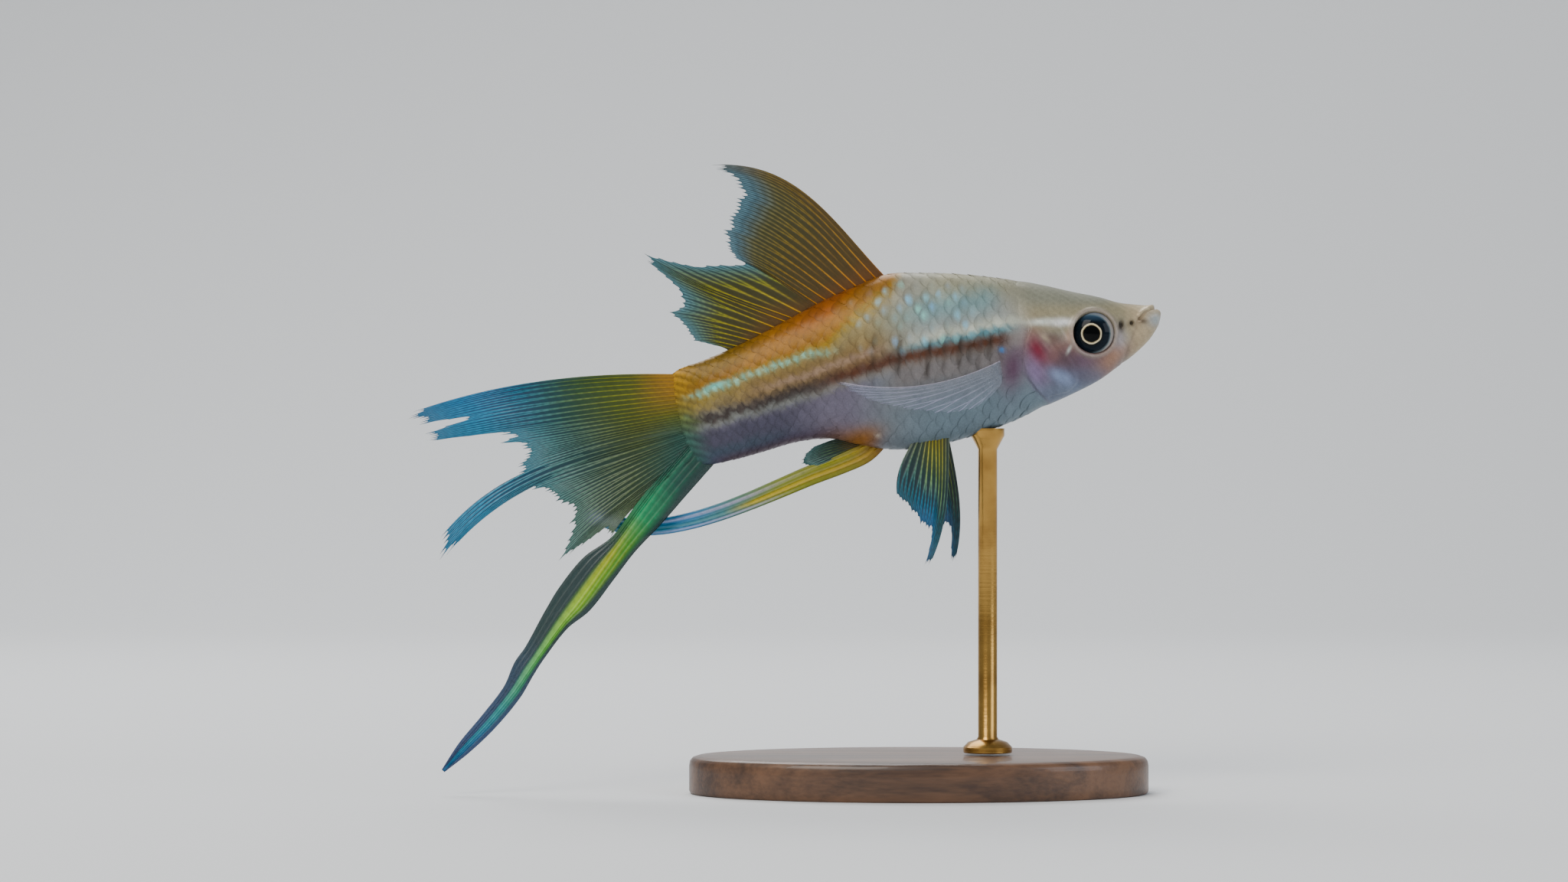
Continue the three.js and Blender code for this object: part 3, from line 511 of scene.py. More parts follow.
def body_paint(points, speck):
    """The linear colour of places on the body. speck is a noise between -1 and 1 for each of them."""
    x, y, z = points.T
    rough, ragged = z + 0.35 * speck, z + 0.9 * speck
    colour = np.tile(pigment("#a3a7a2"), (len(x), 1))

    def lay(code, amount):
        nonlocal colour
        amount = np.clip(amount, 0, 1)[:, None]
        colour = colour * (1 - amount) + pigment(code) * amount

    def spot(code, at_x, at_z, wide, high, amount=1.0, tilt=0.0):
        dx, dz = x - at_x, z - at_z
        along, over = dx * np.cos(tilt) + dz * np.sin(tilt), dz * np.cos(tilt) - dx * np.sin(tilt)
        lay(code, amount * np.exp(-((along / wide) ** 2 + (over / high) ** 2)))

    stripe = np.interp(x, STRIPE[:, 0], STRIPE[:, 1])
    glint = np.interp(x, GLINT[:, 0], GLINT[:, 1])
    lay("#a7a48c", smooth(rough, stripe + 4.5, stripe + 7.5) * smooth(x, -4, 4))
    lay("#789da2", 0.75 * hill(rough - stripe - 5.6, 1.9) * smooth(x, -9, -5) * smooth(-x, -12, -8))
    lay("#94855f", smooth(rough, stripe, stripe + 1.5) * smooth(-x, -2, 8))
    lay("#7c838a", smooth(stripe - rough, 0.6, 2.2))
    lay("#768791", smooth(stripe - rough, 4.5, 8) * smooth(x, -8, 4))
    lay("#736e7e", smooth(stripe - rough, 0.8, 2.2) * smooth(-x, 3, 10))
    lay("#4e4c5c", smooth(stripe - rough, 0.8, 2.4) * smooth(-x, 11, 19))
    # the lower flank darkens to teal towards the tail: partly its own colour, partly painted shade where
    # the light falls off low on the stalk
    lay("#42525e", smooth(stripe - rough, 3.2, 5.5) * smooth(-x, 14, 22))
    lay("#23434c", smooth(stripe - rough, 3.8, 5.8) * smooth(-x, 22, 29))
    lay("#5b5573", 0.6 * hill(z - np.interp(x, BODY[::-1, 2], BODY[::-1, 3]), 1.2) * smooth(-x, 9, 14))
    lay("#807875", hill(rough - stripe + 2.6, 1.9) * smooth(x, -6, -2) * smooth(-x, -14, -10) * 0.75)
    # the orange back, yellow where it thins out at its lower edge
    edge = np.interp(x, BACK_EDGE[:, 0], BACK_EDGE[:, 1])
    lay("#94803a", smooth(ragged - edge, -2.6, 0.4) * smooth(-x, 1.5, 5))
    lay("#926600", smooth(ragged - edge, -1.2, 1.2) * smooth(-x, 1.6, 3.2))
    lay("#945600", smooth(rough - edge, 1.6, 4.5) * smooth(-x, 2.2, 5) * smooth(x, -22, -12))
    lay("#7c6000", smooth(rough - edge, 0.6, 2.5) * smooth(-x, 19, 26))
    # the stripe and the glinting line above it
    body_part = smooth(-x, -13.5, -10)
    dashes = 0.35 + 0.65 * smooth(np.sin(5.4 * x + 3 * z + 1.5 * speck), -0.6, 0.6)
    lay("#d8dccb", 0.9 * hill(rough - glint, 0.75) * smooth(x, -4, 3))
    lay("#6cb4c2", 0.9 * hill(rough - glint + 0.85, 0.55) * smooth(x, -5, 2) * body_part)
    lay("#9adcc6", 0.85 * dashes * hill(rough - glint, 0.5) * smooth(-x, 9, 14))
    above = smooth(rough, stripe - 0.4, stripe + 0.8) * smooth(stripe - rough, -5.2, -2.6)
    lay("#7f6440", 0.65 * above * smooth(-x, 2, 7) * smooth(x, -28, -20))
    lay("#542a12", 0.95 * hill(rough - stripe, 1.25) * body_part * smooth(x, -18, -10))
    lay("#30211e", 0.92 * hill(rough + 0.3 * speck - stripe, 1.15) * smooth(-x, 9, 16))
    lay("#b59a8c", 0.5 * hill(rough - stripe - 1.9, 0.5) * smooth(-x, 3, 7) * smooth(x, -24, -16))
    for bar_x, deep, low, high in FLANK_BARS:
        lean = x - bar_x - 0.1 * (z - 56)
        tall = smooth(z, low - 0.7, low + 0.9) * smooth(-z, -high - 0.8, -high + 0.8)
        lay("#382e27", deep * hill(lean, 0.36) * tall)
    # the root of the anal fin and the vent
    belly = z - np.interp(x, BODY[::-1, 2], BODY[::-1, 3])
    lay("#5f4a4a", 0.6 * hill(belly - 0.1, 0.8) * smooth(-x, 9, 13) * smooth(x, -28, -24))
    lay("#8a6448", 0.75 * hill(belly, 1.7) * smooth(-x, 4.2, 6.5) * smooth(x, -15, -8))
    spot("#94683a", -7.4, 46.6, 2.6, 1.2, 0.8, 0.3)
    spot("#a86c1c", -7.6, 45.9, 1.5, 0.6, 0.45, 0.25)
    # a painted glint: a small pale highlight on the vent
    spot("#d8ccbb", -5.4, 46.7, 0.32, 0.28, 0.6)
    # spots that catch the light
    spot("#4f9be0", 10.6, 57.8, 0.35, 0.3, 0.9)
    spot("#86e0d4", -26.5, 53.2, 1.5, 0.32, 0.9, 0.35)
    spot("#6fcfd0", -30.6, 49.1, 0.5, 0.35, 0.8)
    # the head: olive top, pale snout, rosy cheek and gill cover, violet throat
    above_gill = smooth(z, 60.5, 63.5)
    head = smooth(-behind_gill(x, z), -0.6 - 3.4 * above_gill, 0.6 + 1.6 * above_gill)
    lay("#9c957c", head * smooth(z, 58.5, 61))
    lay("#8c8d7e", head * smooth(z, 62.6, 64.6) * smooth(-x, -27, -23))
    lay("#b8a88c", head * smooth(x, 25.8, 28.5))
    lay("#94766c", head * smooth(-z, -60.2, -58) * smooth(x, 15.5, 18) * smooth(-x, -27, -24.5))
    lay("#6c6e80", head * smooth(-z, -57.2, -54.8) * smooth(-x, -25.8, -23))
    lay("#748092", head * smooth(-z, -54.5, -52.5) * 0.8)
    # the head's spots, among them painted glints and painted shade
    for head_spot in HEAD_SPOTS_GLINTS_AND_SHADE:
        spot(*head_spot)
    # painted shade along the slit of the mouth and in the crease of the jaw
    lay("#94806c", 0.4 * hill(line_distance(x, z, MOUTH), 0.12))
    lay("#74665a", 0.35 * hill(line_distance(x, z, JAW_HINGE), 0.25))
    lay("#a89c94", 0.7 * hill(np.hypot(x - EYE_X, z - EYE_Z) - EYE_RADIUS - 0.35, 0.32))
    # the flesh runs out over the roots of the tail's rays, which show through as streaks
    streaks = 1 + 0.3 * np.sin(6.6 * (z + 0.25 * (x + 30)))
    colour = mix(deepen(colour), tail_root(z) * streaks[:, None], smooth(-x - 0.25 * (z - 49), 27.4, 31))
    shade = 1 + 0.10 * speck
    return np.column_stack([colour * shade[:, None], np.ones(len(x))])


def speckle(x, y, z, size):
    """A smooth, repeatable noise from -1 to 1 with features of about size mm."""
    total = np.zeros(len(x))
    for turn in range(6):
        wave = np.array([np.sin(2.4 * turn + 1), np.cos(1.7 * turn), np.sin(4.1 * turn + 2)])
        wave = wave * (1 + 0.35 * turn) / size
        total += np.sin(x * wave[0] * 3 + y * wave[1] * 3 + z * wave[2] * 3 + 5 * turn)
    return np.clip(total / 3.2, -1, 1)


SKIN_ROUND, SKIN_ALONG = 200, 330
HEAD_SHARE, HEAD_END = 0.62, 20.5  # most rows lie in the first 20.5 mm, so that the head comes out sharp
SPECK = 0.8


def skin_place(u, v):
    """Rows crowd towards the head, and both ends close to a point."""
    row = np.where(
        v < HEAD_SHARE, v / HEAD_SHARE * HEAD_END,
        HEAD_END + (v - HEAD_SHARE) / (1 - HEAD_SHARE) * (body_length - HEAD_END)
    )
    angle = 2 * np.pi * np.where(u >= 1, 0, u)
    points = body_point(row, angle)
    out = body_normal(row, angle)
    points = points + out * relief(*points.T)[:, None]
    for end, depth in ((0, 0.12), (1, -0.1)):
        tip = np.isclose(v, end)
        points[tip] = points[tip].mean(axis=0) + [depth, 0, 0]
    return points.T


def skin_paint(u, v, points):
    """The markings with their painted glints and shade, broken up by specks of SPECK mm."""
    return body_paint(points, speckle(*points.T, SPECK))


skin = shape_grid("skin", SKIN_ROUND, SKIN_ALONG, skin_place, skin_paint)
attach(skin, "root")
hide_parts("head", "lower_jaw", "gill_cover_left", "gill_cover_right", "trunk", "tail_stalk")

# Live fish skin: thin clear slime over paint and silvery guanine, so wet gloss over a pearly sheen.
pearl, tree, shader = start_material(
    "pearly fish skin",
    {"Metallic": 0.22, "Specular IOR Level": 0.22, "Coat Weight": 0.1, "Coat Roughness": 0.2},
)
paint = add(tree, "ShaderNodeAttribute", attribute_name="paint")
where = add(tree, "ShaderNodeTexCoord").outputs["Object"]
grains = add(tree, "ShaderNodeTexNoise", {"Vector": where, "Scale": 5200, "Detail": 3})
clouds = add(tree, "ShaderNodeTexNoise", {"Vector": where, "Scale": 900, "Detail": 4})
lighter = add(tree, "ShaderNodeMapRange", {"Value": grains.outputs["Fac"], "To Min": 0.78, "To Max": 1.22})
tinted = add(
    tree,
    "ShaderNodeMix",
    {"Factor": 1.0, 6: paint.outputs["Color"], 7: lighter.outputs[0]},
    data_type="RGBA",
    blend_type="MULTIPLY",
)
tree.links.new(tinted.outputs[2], shader.inputs["Base Color"])
uneven = add(tree, "ShaderNodeMapRange", {"Value": clouds.outputs["Fac"], "To Min": 0.34, "To Max": 0.56})
tree.links.new(uneven.outputs[0], shader.inputs["Roughness"])
pits = add(tree, "ShaderNodeBump", {"Height": grains.outputs["Fac"], "Strength": 0.25, "Distance": 0.00006})
tree.links.new(pits.outputs["Normal"], shader.inputs["Normal"])
skin.data.materials.append(pearl)

# The scales
# Thin round plates that grow from the skin in rows and overlap towards the tail. Each stands up a
# little at its free edge, and those on the upper flank carry a painted glint: a pale blue highlight.

# Columns 1 mm apart with every second one shifted by half a scale give rows 2 mm long to a scale.
SCALE_ROWS = 10  # in one column, from back to belly on one side
SCALE_PITCH, SCALE_PITCH_TAIL = 1.02, 0.68
SCALE_REACH, SCALE_SPREAD = 3.3, 0.6  # length in pitches, half width in rows
SCALE_LIFT, SCALE_SINK = 0.17, 0.17  # rise of the free edge, and depth of the root in the body
SCALES_FROM, SCALES_STOP = 15.0, 1.2  # mm from the snout, and mm left bare at the tail root
PATCH = 0.0015  # half the width of one scale's patch in the UV map
SCALE_ALONG = (0, 0.35, 0.6, 0.73, 0.84, 0.93, 1)  # rows of points crowd where the scale shows
SCALE_ACROSS = 8

ring_angles = np.linspace(0, 2 * np.pi, 361)


def girth(along):
    """Distance round the body from the back to each angle, in mm, at one place along it."""
    ring = body_point(np.full(len(ring_angles), along), ring_angles)
    return np.concatenate([[0], np.cumsum(np.linalg.norm(np.diff(ring, axis=0), axis=1))])


widest = girth(body_knots[10])[-1]
columns, at = [], SCALES_FROM
while at < body_length - SCALES_STOP:
    round_here = girth(at)
    fullness = smooth(round_here[-1] / widest, 0.45, 0.95)
    pitch = SCALE_PITCH_TAIL + (SCALE_PITCH - SCALE_PITCH_TAIL) * fullness
    columns.append((at, pitch, round_here))
    at += pitch


def blue_glint(x, z):
    """How strongly a scale carries a painted pale blue glint: on the upper flank and along the glinting
    line.
    """
    high = smooth(z - 0.05 * x, 60.4, 61.8) * smooth(-z, -66.6, -65.6)
    high = high * smooth(x, -7, -2.5) * smooth(-x, -10.5, -6)
    line = hill(z - np.interp(x, GLINT[:, 0], GLINT[:, 1]) + 0.2, 1.3)
    line = line * smooth(x, -6, -2) * smooth(-x, -12.5, -9)
    return np.maximum(high, line)


chance = np.random.default_rng(7)
a, b = (g.ravel() for g in np.meshgrid(SCALE_ALONG, np.linspace(-1, 1, SCALE_ACROSS), indexing="ij"))
rounded = np.clip(1 - (np.clip(a - 0.42, 0, 1) / 0.59) ** 2.3, 0, 1)
outline = np.sqrt(rounded) * (0.72 + 0.28 * smooth(a, 0, 0.4))
across, last_row = SCALE_ACROSS, (len(SCALE_ALONG) - 1) * SCALE_ACROSS
rim = (
    list(range(across))
    + list(range(2 * across - 1, last_row, across))
    + list(range(last_row + across - 1, last_row - 1, -1))
    + list(range(last_row - across, 0, -across))
)
# the upper side is a small grid, and one many-sided face closes the scale underneath
one_scale = [
    (i + j, i + j + across, i + j + across + 1, i + j + 1)
    for i in range(0, last_row, across)
    for j in range(across - 1)
]
one_scale.append(tuple(rim))
for name, first_row in (("left", 0), ("right", SCALE_ROWS)):
    points, faces, colours, patches = [], [], [], []
    for c, (at, pitch, round_here) in enumerate(columns):
        spacing = round_here[-1] / (2 * SCALE_ROWS)
        for row in range(first_row, first_row + SCALE_ROWS):
            here = (row + 0.5 * (c % 2)) * spacing
            root = body_point(np.array([at]), np.interp([here], round_here, ring_angles))[0]
            if behind_gill(root[0], root[2]) < -0.5 - 0.4 * max(0, root[2] - 62):
                continue
            size = 1 + 0.05 * chance.uniform(-1, 1)
            along = np.minimum(at + a * pitch * SCALE_REACH * size, body_length - 0.02)
            around = here + b * outline * spacing * SCALE_SPREAD * size
            angle = np.interp(around % round_here[-1], round_here, ring_angles)
            lift = 0.02 + SCALE_LIFT * a - 0.05 * (b * outline) ** 2 + 0.015 * chance.uniform(-1, 1)
            lift = lift * smooth(body_length - along, 0, 2.5)
            upper = body_point(along, angle) + body_normal(along, angle) * (lift - SCALE_SINK)[:, None]
            paint_here = body_paint(upper, speckle(*upper.T, SPECK) * 0.6 + 0.35 * chance.uniform(-1, 1))
            # the belly's scales are the faintest
            contrast = 1 - 0.7 * smooth(np.interp(root[0], STRIPE[:, 0], STRIPE[:, 1]) - root[2], 1, 5)
            contrast *= smooth(behind_gill(root[0], root[2]), -2.5, 2)
            rim_shade = smooth(np.maximum(a, np.abs(b) * 0.9), 0.82, 1.0) * contrast
            lightness = 1 + 0.12 * contrast * chance.uniform(-1, 1)
            paint_here[:, :3] *= lightness * (1 - 0.22 * rim_shade)[:, None]
            # painted glint: a pale blue highlight near the free edge of some scales, its strength set by
            # chance
            off_a, off_b, glow, hue = chance.uniform((-0.06, -0.35, 0, 0), (0.06, 0.35, 1, 1))
            scale_glint = blue_glint(*root[[0, 2]]) * glow**1.2
            scale_glint = scale_glint * hill(a - 0.82 - off_a, 0.09) * hill(b - off_b, 0.4)
            lit = tint([(0, "#6ab4f0"), (0.5, "#86c8dc"), (1, "#8cd8c8")], np.array([hue]))
            paint_here[:, :3] += (lit - paint_here[:, :3]) * scale_glint[:, None]
            start = len(points) * len(a)
            points.append(upper)
            faces += [tuple(start + k for k in face) for face in one_scale]
            colours.append(paint_here)
            middle = np.array([here / round_here[-1], at / body_length])
            patches.append(middle + PATCH * np.column_stack([b, 2 * a - 1]))
    scale_mesh = bpy.data.meshes.new(f"scales_{name}")
    scale_mesh.from_pydata(np.concatenate(points) / 1000, [], faces)
    scales = bpy.data.objects.new(f"scales_{name}", scale_mesh)
    bpy.context.collection.objects.link(scales)
    colour_layer = scale_mesh.attributes.new("paint", "FLOAT_COLOR", "POINT")
    colour_layer.data.foreach_set("color", np.concatenate(colours).ravel())
    corner = np.empty(len(scale_mesh.loops), dtype=int)
    scale_mesh.loops.foreach_get("vertex_index", corner)
    scale_mesh.uv_layers.new(name="OFBake").data.foreach_set("uv", np.concatenate(patches)[corner].ravel())
    bpy.ops.object.select_all(action="DESELECT")
    scales.select_set(True)
    bpy.context.view_layer.objects.active = scales
    bpy.ops.object.mode_set(mode="EDIT")
    bpy.ops.mesh.select_all(action="SELECT")
    bpy.ops.mesh.remove_doubles(threshold=1e-7)
    bpy.ops.mesh.normals_make_consistent(inside=False)
    bpy.ops.object.mode_set(mode="OBJECT")
    bpy.ops.object.shade_smooth_by_angle(angle=np.radians(50))
    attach(scales, "root")
    scales.data.materials.append(pearl)

# The eyes
# Glass-clear domes over a black pupil, a thin cream ring and a wide blue-black iris with a painted
# bluish sheen over its top, set in the sockets so that they bulge a little past the cheek.

PUPIL_X, PUPIL_Z = 22.25, 59.9
EYE_BULGE = 1.5  # half the depth of the eye from side to side
RAMP_REACH = 3  # the mm from the pupil that the ramp of rings covers

# Wet fish eye: a hard, glossy cornea over the rings of the iris, which are smooth and even in tone.
eye_material, tree, shader = start_material(
    "wet fish eye",
    {
        "Roughness": 0.12, "IOR": 1.38, "Specular IOR Level": 0.06,
        "Coat Weight": 0.14, "Coat Roughness": 0.03,
    },
)
where = add(tree, "ShaderNodeTexCoord").outputs["Object"]
from_pupil = add(
    tree,
    "ShaderNodeVectorMath",
    {0: where, 1: (PUPIL_X / 1000, 0, PUPIL_Z / 1000)},
    operation="SUBTRACT",
)
flat = add(tree, "ShaderNodeVectorMath", {0: from_pupil.outputs[0], 1: (1, 0, 1)}, operation="MULTIPLY")
away = add(tree, "ShaderNodeVectorMath", {0: flat.outputs[0]}, operation="LENGTH")
radius = add(tree, "ShaderNodeMath", {0: away.outputs["Value"], 1: 1000 / RAMP_REACH}, operation="MULTIPLY")
ripple = add(tree, "ShaderNodeTexNoise", {"Vector": where, "Scale": 1100, "Detail": 2})
waved = add(
    tree, "ShaderNodeMath", {0: ripple.outputs["Fac"], 1: 0.06, 2: radius.outputs[0]},
    operation="MULTIPLY_ADD"
)
rings = add(tree, "ShaderNodeValToRGB", {"Fac": waved.outputs[0]})
stops = [
    (0.0, "#010202"), (0.365, "#020303"), (0.395, "#1e1b14"), (0.42, "#b8a67c"),
    (0.458, "#e0d4b0"), (0.485, "#2e2c26"), (0.515, "#060c12"), (0.70, "#0a1620"),
    (0.80, "#0a141c"), (0.855, "#4a585e"), (0.9, "#8c8a86"), (1.0, "#8c8480"),
]
rings.color_ramp.elements[0].color = linear(stops[0][1])
rings.color_ramp.elements[1].color = linear(stops[-1][1])
for position, code in stops[1:-1]:
    rings.color_ramp.elements.new(position).color = linear(code)
# painted sheen: the top of the iris is mixed towards blue-grey, as light from above shows on it
height = add(tree, "ShaderNodeSeparateXYZ", {0: where}).outputs["Z"]
top_sheen = {"Value": height, "From Min": (EYE_Z + 1.4) / 1000, "From Max": (EYE_Z + 2.5) / 1000, "To Max": 0.6}
upper = add(tree, "ShaderNodeMapRange", top_sheen)
iris_and_sheen = add(
    tree, "ShaderNodeMix", {"Factor": upper.outputs[0], 6: rings.outputs["Color"], 7: linear("#3c5a74")},
    data_type="RGBA"
)
tree.links.new(iris_and_sheen.outputs[2], shader.inputs["Base Color"])

for name, side in (("right", -1), ("left", 1)):
    bpy.ops.object.select_all(action="DESELECT")
    bpy.ops.mesh.primitive_uv_sphere_add(segments=64, ring_count=40, radius=EYE_RADIUS / 1000)
    eye = bpy.context.object
    eye.name = eye.data.name = f"eye_ball_{name}"
    bpy.ops.object.mode_set(mode="EDIT")
    bpy.ops.mesh.select_all(action="SELECT")
    bpy.ops.transform.rotate(value=np.pi / 2, orient_axis="X", center_override=(0, 0, 0))
    bpy.ops.transform.resize(value=(1, EYE_BULGE / EYE_RADIUS, 1), center_override=(0, 0, 0))
    bpy.ops.transform.translate(value=(EYE_X / 1000, side * EYE_SIDE / 1000, EYE_Z / 1000))
    bpy.ops.object.mode_set(mode="OBJECT")
    bpy.ops.object.shade_smooth()
    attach(eye, "root")
    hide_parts(f"eye_{name}")
    eye.data.materials.append(eye_material)

# The rayed fins
# A fin is a clear web between bony rays, which branch towards the margin and end in soft points. The
# rays are jointed, so they look finely cross-banded, and the web is thinnest at its edge.

# Fin web: horn-like clear skin that takes its colour from the pigment cells in it, glossy when wet.
web_material, tree, shader = start_material(
    "fin web and rays",
    {
        "Roughness": 0.42, "IOR": 1.5, "Specular IOR Level": 0.35,
        "Coat Weight": 0.12, "Coat Roughness": 0.15,
    },
)
paint = add(tree, "ShaderNodeAttribute", attribute_name="paint")
tree.links.new(paint.outputs["Color"], shader.inputs["Base Color"])
tree.links.new(paint.outputs["Alpha"], shader.inputs["Alpha"])
where = add(tree, "ShaderNodeTexCoord").outputs["Object"]
cells = add(tree, "ShaderNodeTexNoise", {"Vector": where, "Scale": 6000, "Detail": 2})
dimples = add(
    tree, "ShaderNodeBump", {"Height": cells.outputs["Fac"], "Strength": 0.2, "Distance": 0.00005}
)
tree.links.new(dimples.outputs["Normal"], shader.inputs["Normal"])

RAY_WAVE = 0.22  # how far the web waves to either side at the margin, in mm
WEB_ROOT, WEB_MARGIN = 0.10, 0.05  # half the thickness of the web, in mm
NOTCH, RAGGED = 0.035, 0.05  # notches between the ray tips and chance in their reach, shares of the length
BAND_SHADE = 0.22  # how much darker the cross bands of the rays are


def ray_curve(ray_set, base, v, mirror, skew):
    """Each ray as a curve: an array of places in side view, one row for each ray."""
    curves = []
    for share, tip_x, tip_z, bow, *_ in ray_set:
        root_x, root_z = base(share)
        dx, dz = tip_x - root_x, tip_z - root_z
        swell = 4 * v * (1 - v) * (1 + skew * (2 * v - 1)) * bow * mirror
        curves.append((root_x + dx * v + dz * swell, root_z + dz * v - dx * swell))
    return np.array(curves)


def rayed_fin(
    name, node, ray_set, base, side, shades, swing=0.0, pivot=(0, 0), mirror=1, skew=0.4, fine=32,
    rows=90, dense=2, late=0.0, splits=(0.38, 0.68), ridge=(0.15, 0.05), web_alpha=(0.97, 0.9),
    web_shade=0.55, ray_alpha=1.0, bars=1.0,
):
    """Builds one fin as a closed leaf. shades(across, v, points) gives the colours of its rays and its web.

    Each space between two rays of the table holds dense rays, drawn with fine columns of points, and every
    second ray starts late, as a share of the length. A ray forks at each of the splits. ridge is how far
    the rays stand out of the web at root and margin, in mm, and web_alpha how solid the web looks there."""
    last = len(ray_set) - 1
    lengths, gaps = np.array([ray[4:] for ray in ray_set]).T
    ragged = 1 - RAGGED * np.random.default_rng(len(name) + last).random(4 * last + 1)

    def leaf(u):
        around = 2 * u
        face = np.where(around < 1, -1.0, 1.0)
        across = np.where(around < 1, around, 2 - around) * last
        i = np.minimum(np.floor(across).astype(int), last - 1)
        return face, across, i, across - i

    def ray_strength(across, v):
        """1 on a ray and 0 in the web, with each ray split in two and then in four."""
        first, second = smooth(v, splits[0], splits[0] + 0.4), smooth(v, splits[1], splits[1] + 0.3)
        strength = np.zeros(len(v))
        nearest = np.clip(np.rint(across * dense), 0, last * dense)
        for centre in (nearest - 1, nearest, nearest + 1):
            for half in (-1, 1):
                for quarter in (-1, 1):
                    branch = centre + half * 0.25 * first + quarter * 0.125 * second
                    inside = (centre >= 0) & (centre <= last * dense)
                    wide = 0.07 + 0.025 * dense - 0.045 * v
                    begun = np.where(centre % 2, smooth(v, late - 0.3, late + 0.2), 1)
                    strength = np.maximum(strength, hill(across * dense - branch, wide) * inside * begun)
        return strength

    def place(u, v):
        face, across, i, part = leaf(u)
        notch = NOTCH * np.abs(np.sin(np.pi * across * 4)) ** 0.8 * smooth(v, 0.3, 1)
        torn = gaps[i] * np.sin(np.pi * part) ** 1.5 * v
        reach = lengths[i] + (lengths[i + 1] - lengths[i]) * smooth(part, 0.15, 0.85)
        reach = reach * (1 - notch) * (1 - torn) * np.interp(across * 4, np.arange(len(ragged)), ragged)
        run = v * (1 + (reach - 1) * v ** 0.5)
        x, z = np.zeros(len(v)), np.zeros(len(v))
        for k in range(last):
            here = i == k
            curves = ray_curve(ray_set[k : k + 2], base, run[here], mirror, skew)
            x[here] = curves[0][0] * (1 - part[here]) + curves[1][0] * part[here]
            z[here] = curves[0][1] * (1 - part[here]) + curves[1][1] * part[here]
        if swing:
            dx, dz = x - pivot[0], z - pivot[1]
            x = pivot[0] + dx * np.cos(swing) - dz * np.sin(swing)
            z = pivot[1] + dx * np.sin(swing) + dz * np.cos(swing)
        edge = np.minimum(smooth(across, 0, 0.22), smooth(last - across, 0, 0.22))
        half = WEB_ROOT + (WEB_MARGIN - WEB_ROOT) * v
        half = half + (ridge[0] + (ridge[1] - ridge[0]) * v) * ray_strength(across, v)
        half = half * (0.25 + 0.75 * edge) * smooth(-v, -1, -0.965) * smooth(v, 0, 0.02) * (edge > 0)
        wave = RAY_WAVE * v ** 1.5 * np.sin(0.55 * x + 0.4 * z)
        return x, side(x, z) + wave + face * half, z

    def paint(u, v, points):
        _, across, _, _ = leaf(u)
        bone = ray_strength(across, v)
        joint = 1 - BAND_SHADE * bars * (np.sin(v * rows * 1.15) > 0.2) * smooth(v, 0.12, 0.3)
        ray_colour, web_colour = shades(across / last, v, points)
        colour = ray_colour * (bone * joint)[:, None] + web_colour * (web_shade * (1 - bone))[:, None]
        colour = deepen(colour, 0.88, 1.25) * (1 + 0.12 * speckle(*points.T, 0.5))[:, None]
        alpha = web_alpha[0] + (web_alpha[1] - web_alpha[0]) * v
        return np.column_stack([colour, np.maximum(alpha, ray_alpha * bone)])

    fin = shape_grid(name, 2 * fine * last, rows, place, paint)
    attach(fin, "root")
    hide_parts(node)
    fin.data.materials.append(web_material)


# The dorsal fin
# The tall sail on the back, swept to the rear in a point, and behind it a lower lobe with one long
# trailing ray. It is orange-olive with lit yellow rays, and turns teal-blue at the rear margin.

# share of the base, tip x, tip z, bow as a share of the length, share of that curve the ray has, gap in
# the web behind it
DORSAL_SAIL = [
    (0.0, -27.9, 81.9, 0.13, 1, 0), (0.06, -26.2, 81.2, 0.105, 1, 0), (0.12, -24.1, 79.2, 0.085, 1, 0),
    (0.18, -24.4, 77.3, 0.07, 1, 0), (0.24, -25.2, 75.5, 0.058, 1, 0), (0.3, -25.6, 73.6, 0.048, 1, 0),
    (0.36, -25.7, 71.7, 0.04, 1, 0), (0.415, -24.6, 70.1, 0.034, 1, 0), (0.455, -22.5, 69.15, 0.03, 1, 0),
]
DORSAL_LOBE = [
    (0.435, -22.9, 69.35, 0.03, 1, 0), (0.51, -29.5, 68.8, 0.03, 1, 0), (0.56, -36.2, 70.7, -0.03, 1, 0),
    (0.6, -35.8, 69.6, -0.02, 1, 0), (0.67, -31.7, 65.9, 0.005, 1, 0.06), (0.74, -32.6, 62.8, 0.02, 1, 0),
    (0.81, -30.8, 60.8, 0.03, 1, 0), (0.88, -29.6, 59.1, 0.04, 1, 0), (0.97, -25.8, 58.3, 0.05, 1, 0),
]
DORSAL_FRONT_X, DORSAL_REAR_X = -3.4, -24.6
DORSAL_SUNK = 1.3  # how deep the roots lie in the back, in mm


def dorsal_base(share):
    """Where the rays are rooted, along the back."""
    x = DORSAL_FRONT_X + (DORSAL_REAR_X - DORSAL_FRONT_X) * share
    return x, np.interp(x, BODY[::-1, 0], BODY[::-1, 1]) - DORSAL_SUNK


def dorsal_shades(across, v, points):
    rays = tint(
        [(0, "#d98a08"), (0.25, "#b88a0c"), (0.5, "#80681c"), (0.78, "#68623c"), (0.93, "#587480"),
         (1, "#6c90a0")],
        v
    )
    web = tint(
        [(0, "#845404"), (0.2, "#5a4806"), (0.5, "#4c440c"), (0.8, "#3c401c"), (0.93, "#284850"),
         (1, "#285462")],
        v
    )
    lead = hill(across, 0.12) * smooth(v, 0.1, 0.3)
    warm = pigment("#785a1a")
    return mix(rays, warm, 0.5 * lead), mix(web, warm, 0.4 * lead * smooth(-v, -0.95, -0.7))


def lobe_shades(across, v, points):
    rays = tint([(0, "#d9980c"), (0.3, "#b8a41c"), (0.6, "#828430"), (0.85, "#5c7a6c"), (1, "#608e9a")], v)
    web = tint([(0, "#7a5406"), (0.3, "#4c4408"), (0.6, "#40421c"), (0.85, "#28484c"), (1, "#204e5a")], v)
    return rays, web


def median(x, z):
    """The fins of the back and the tail stand in the fish's middle plane, bent with its body."""
    return bend(x)


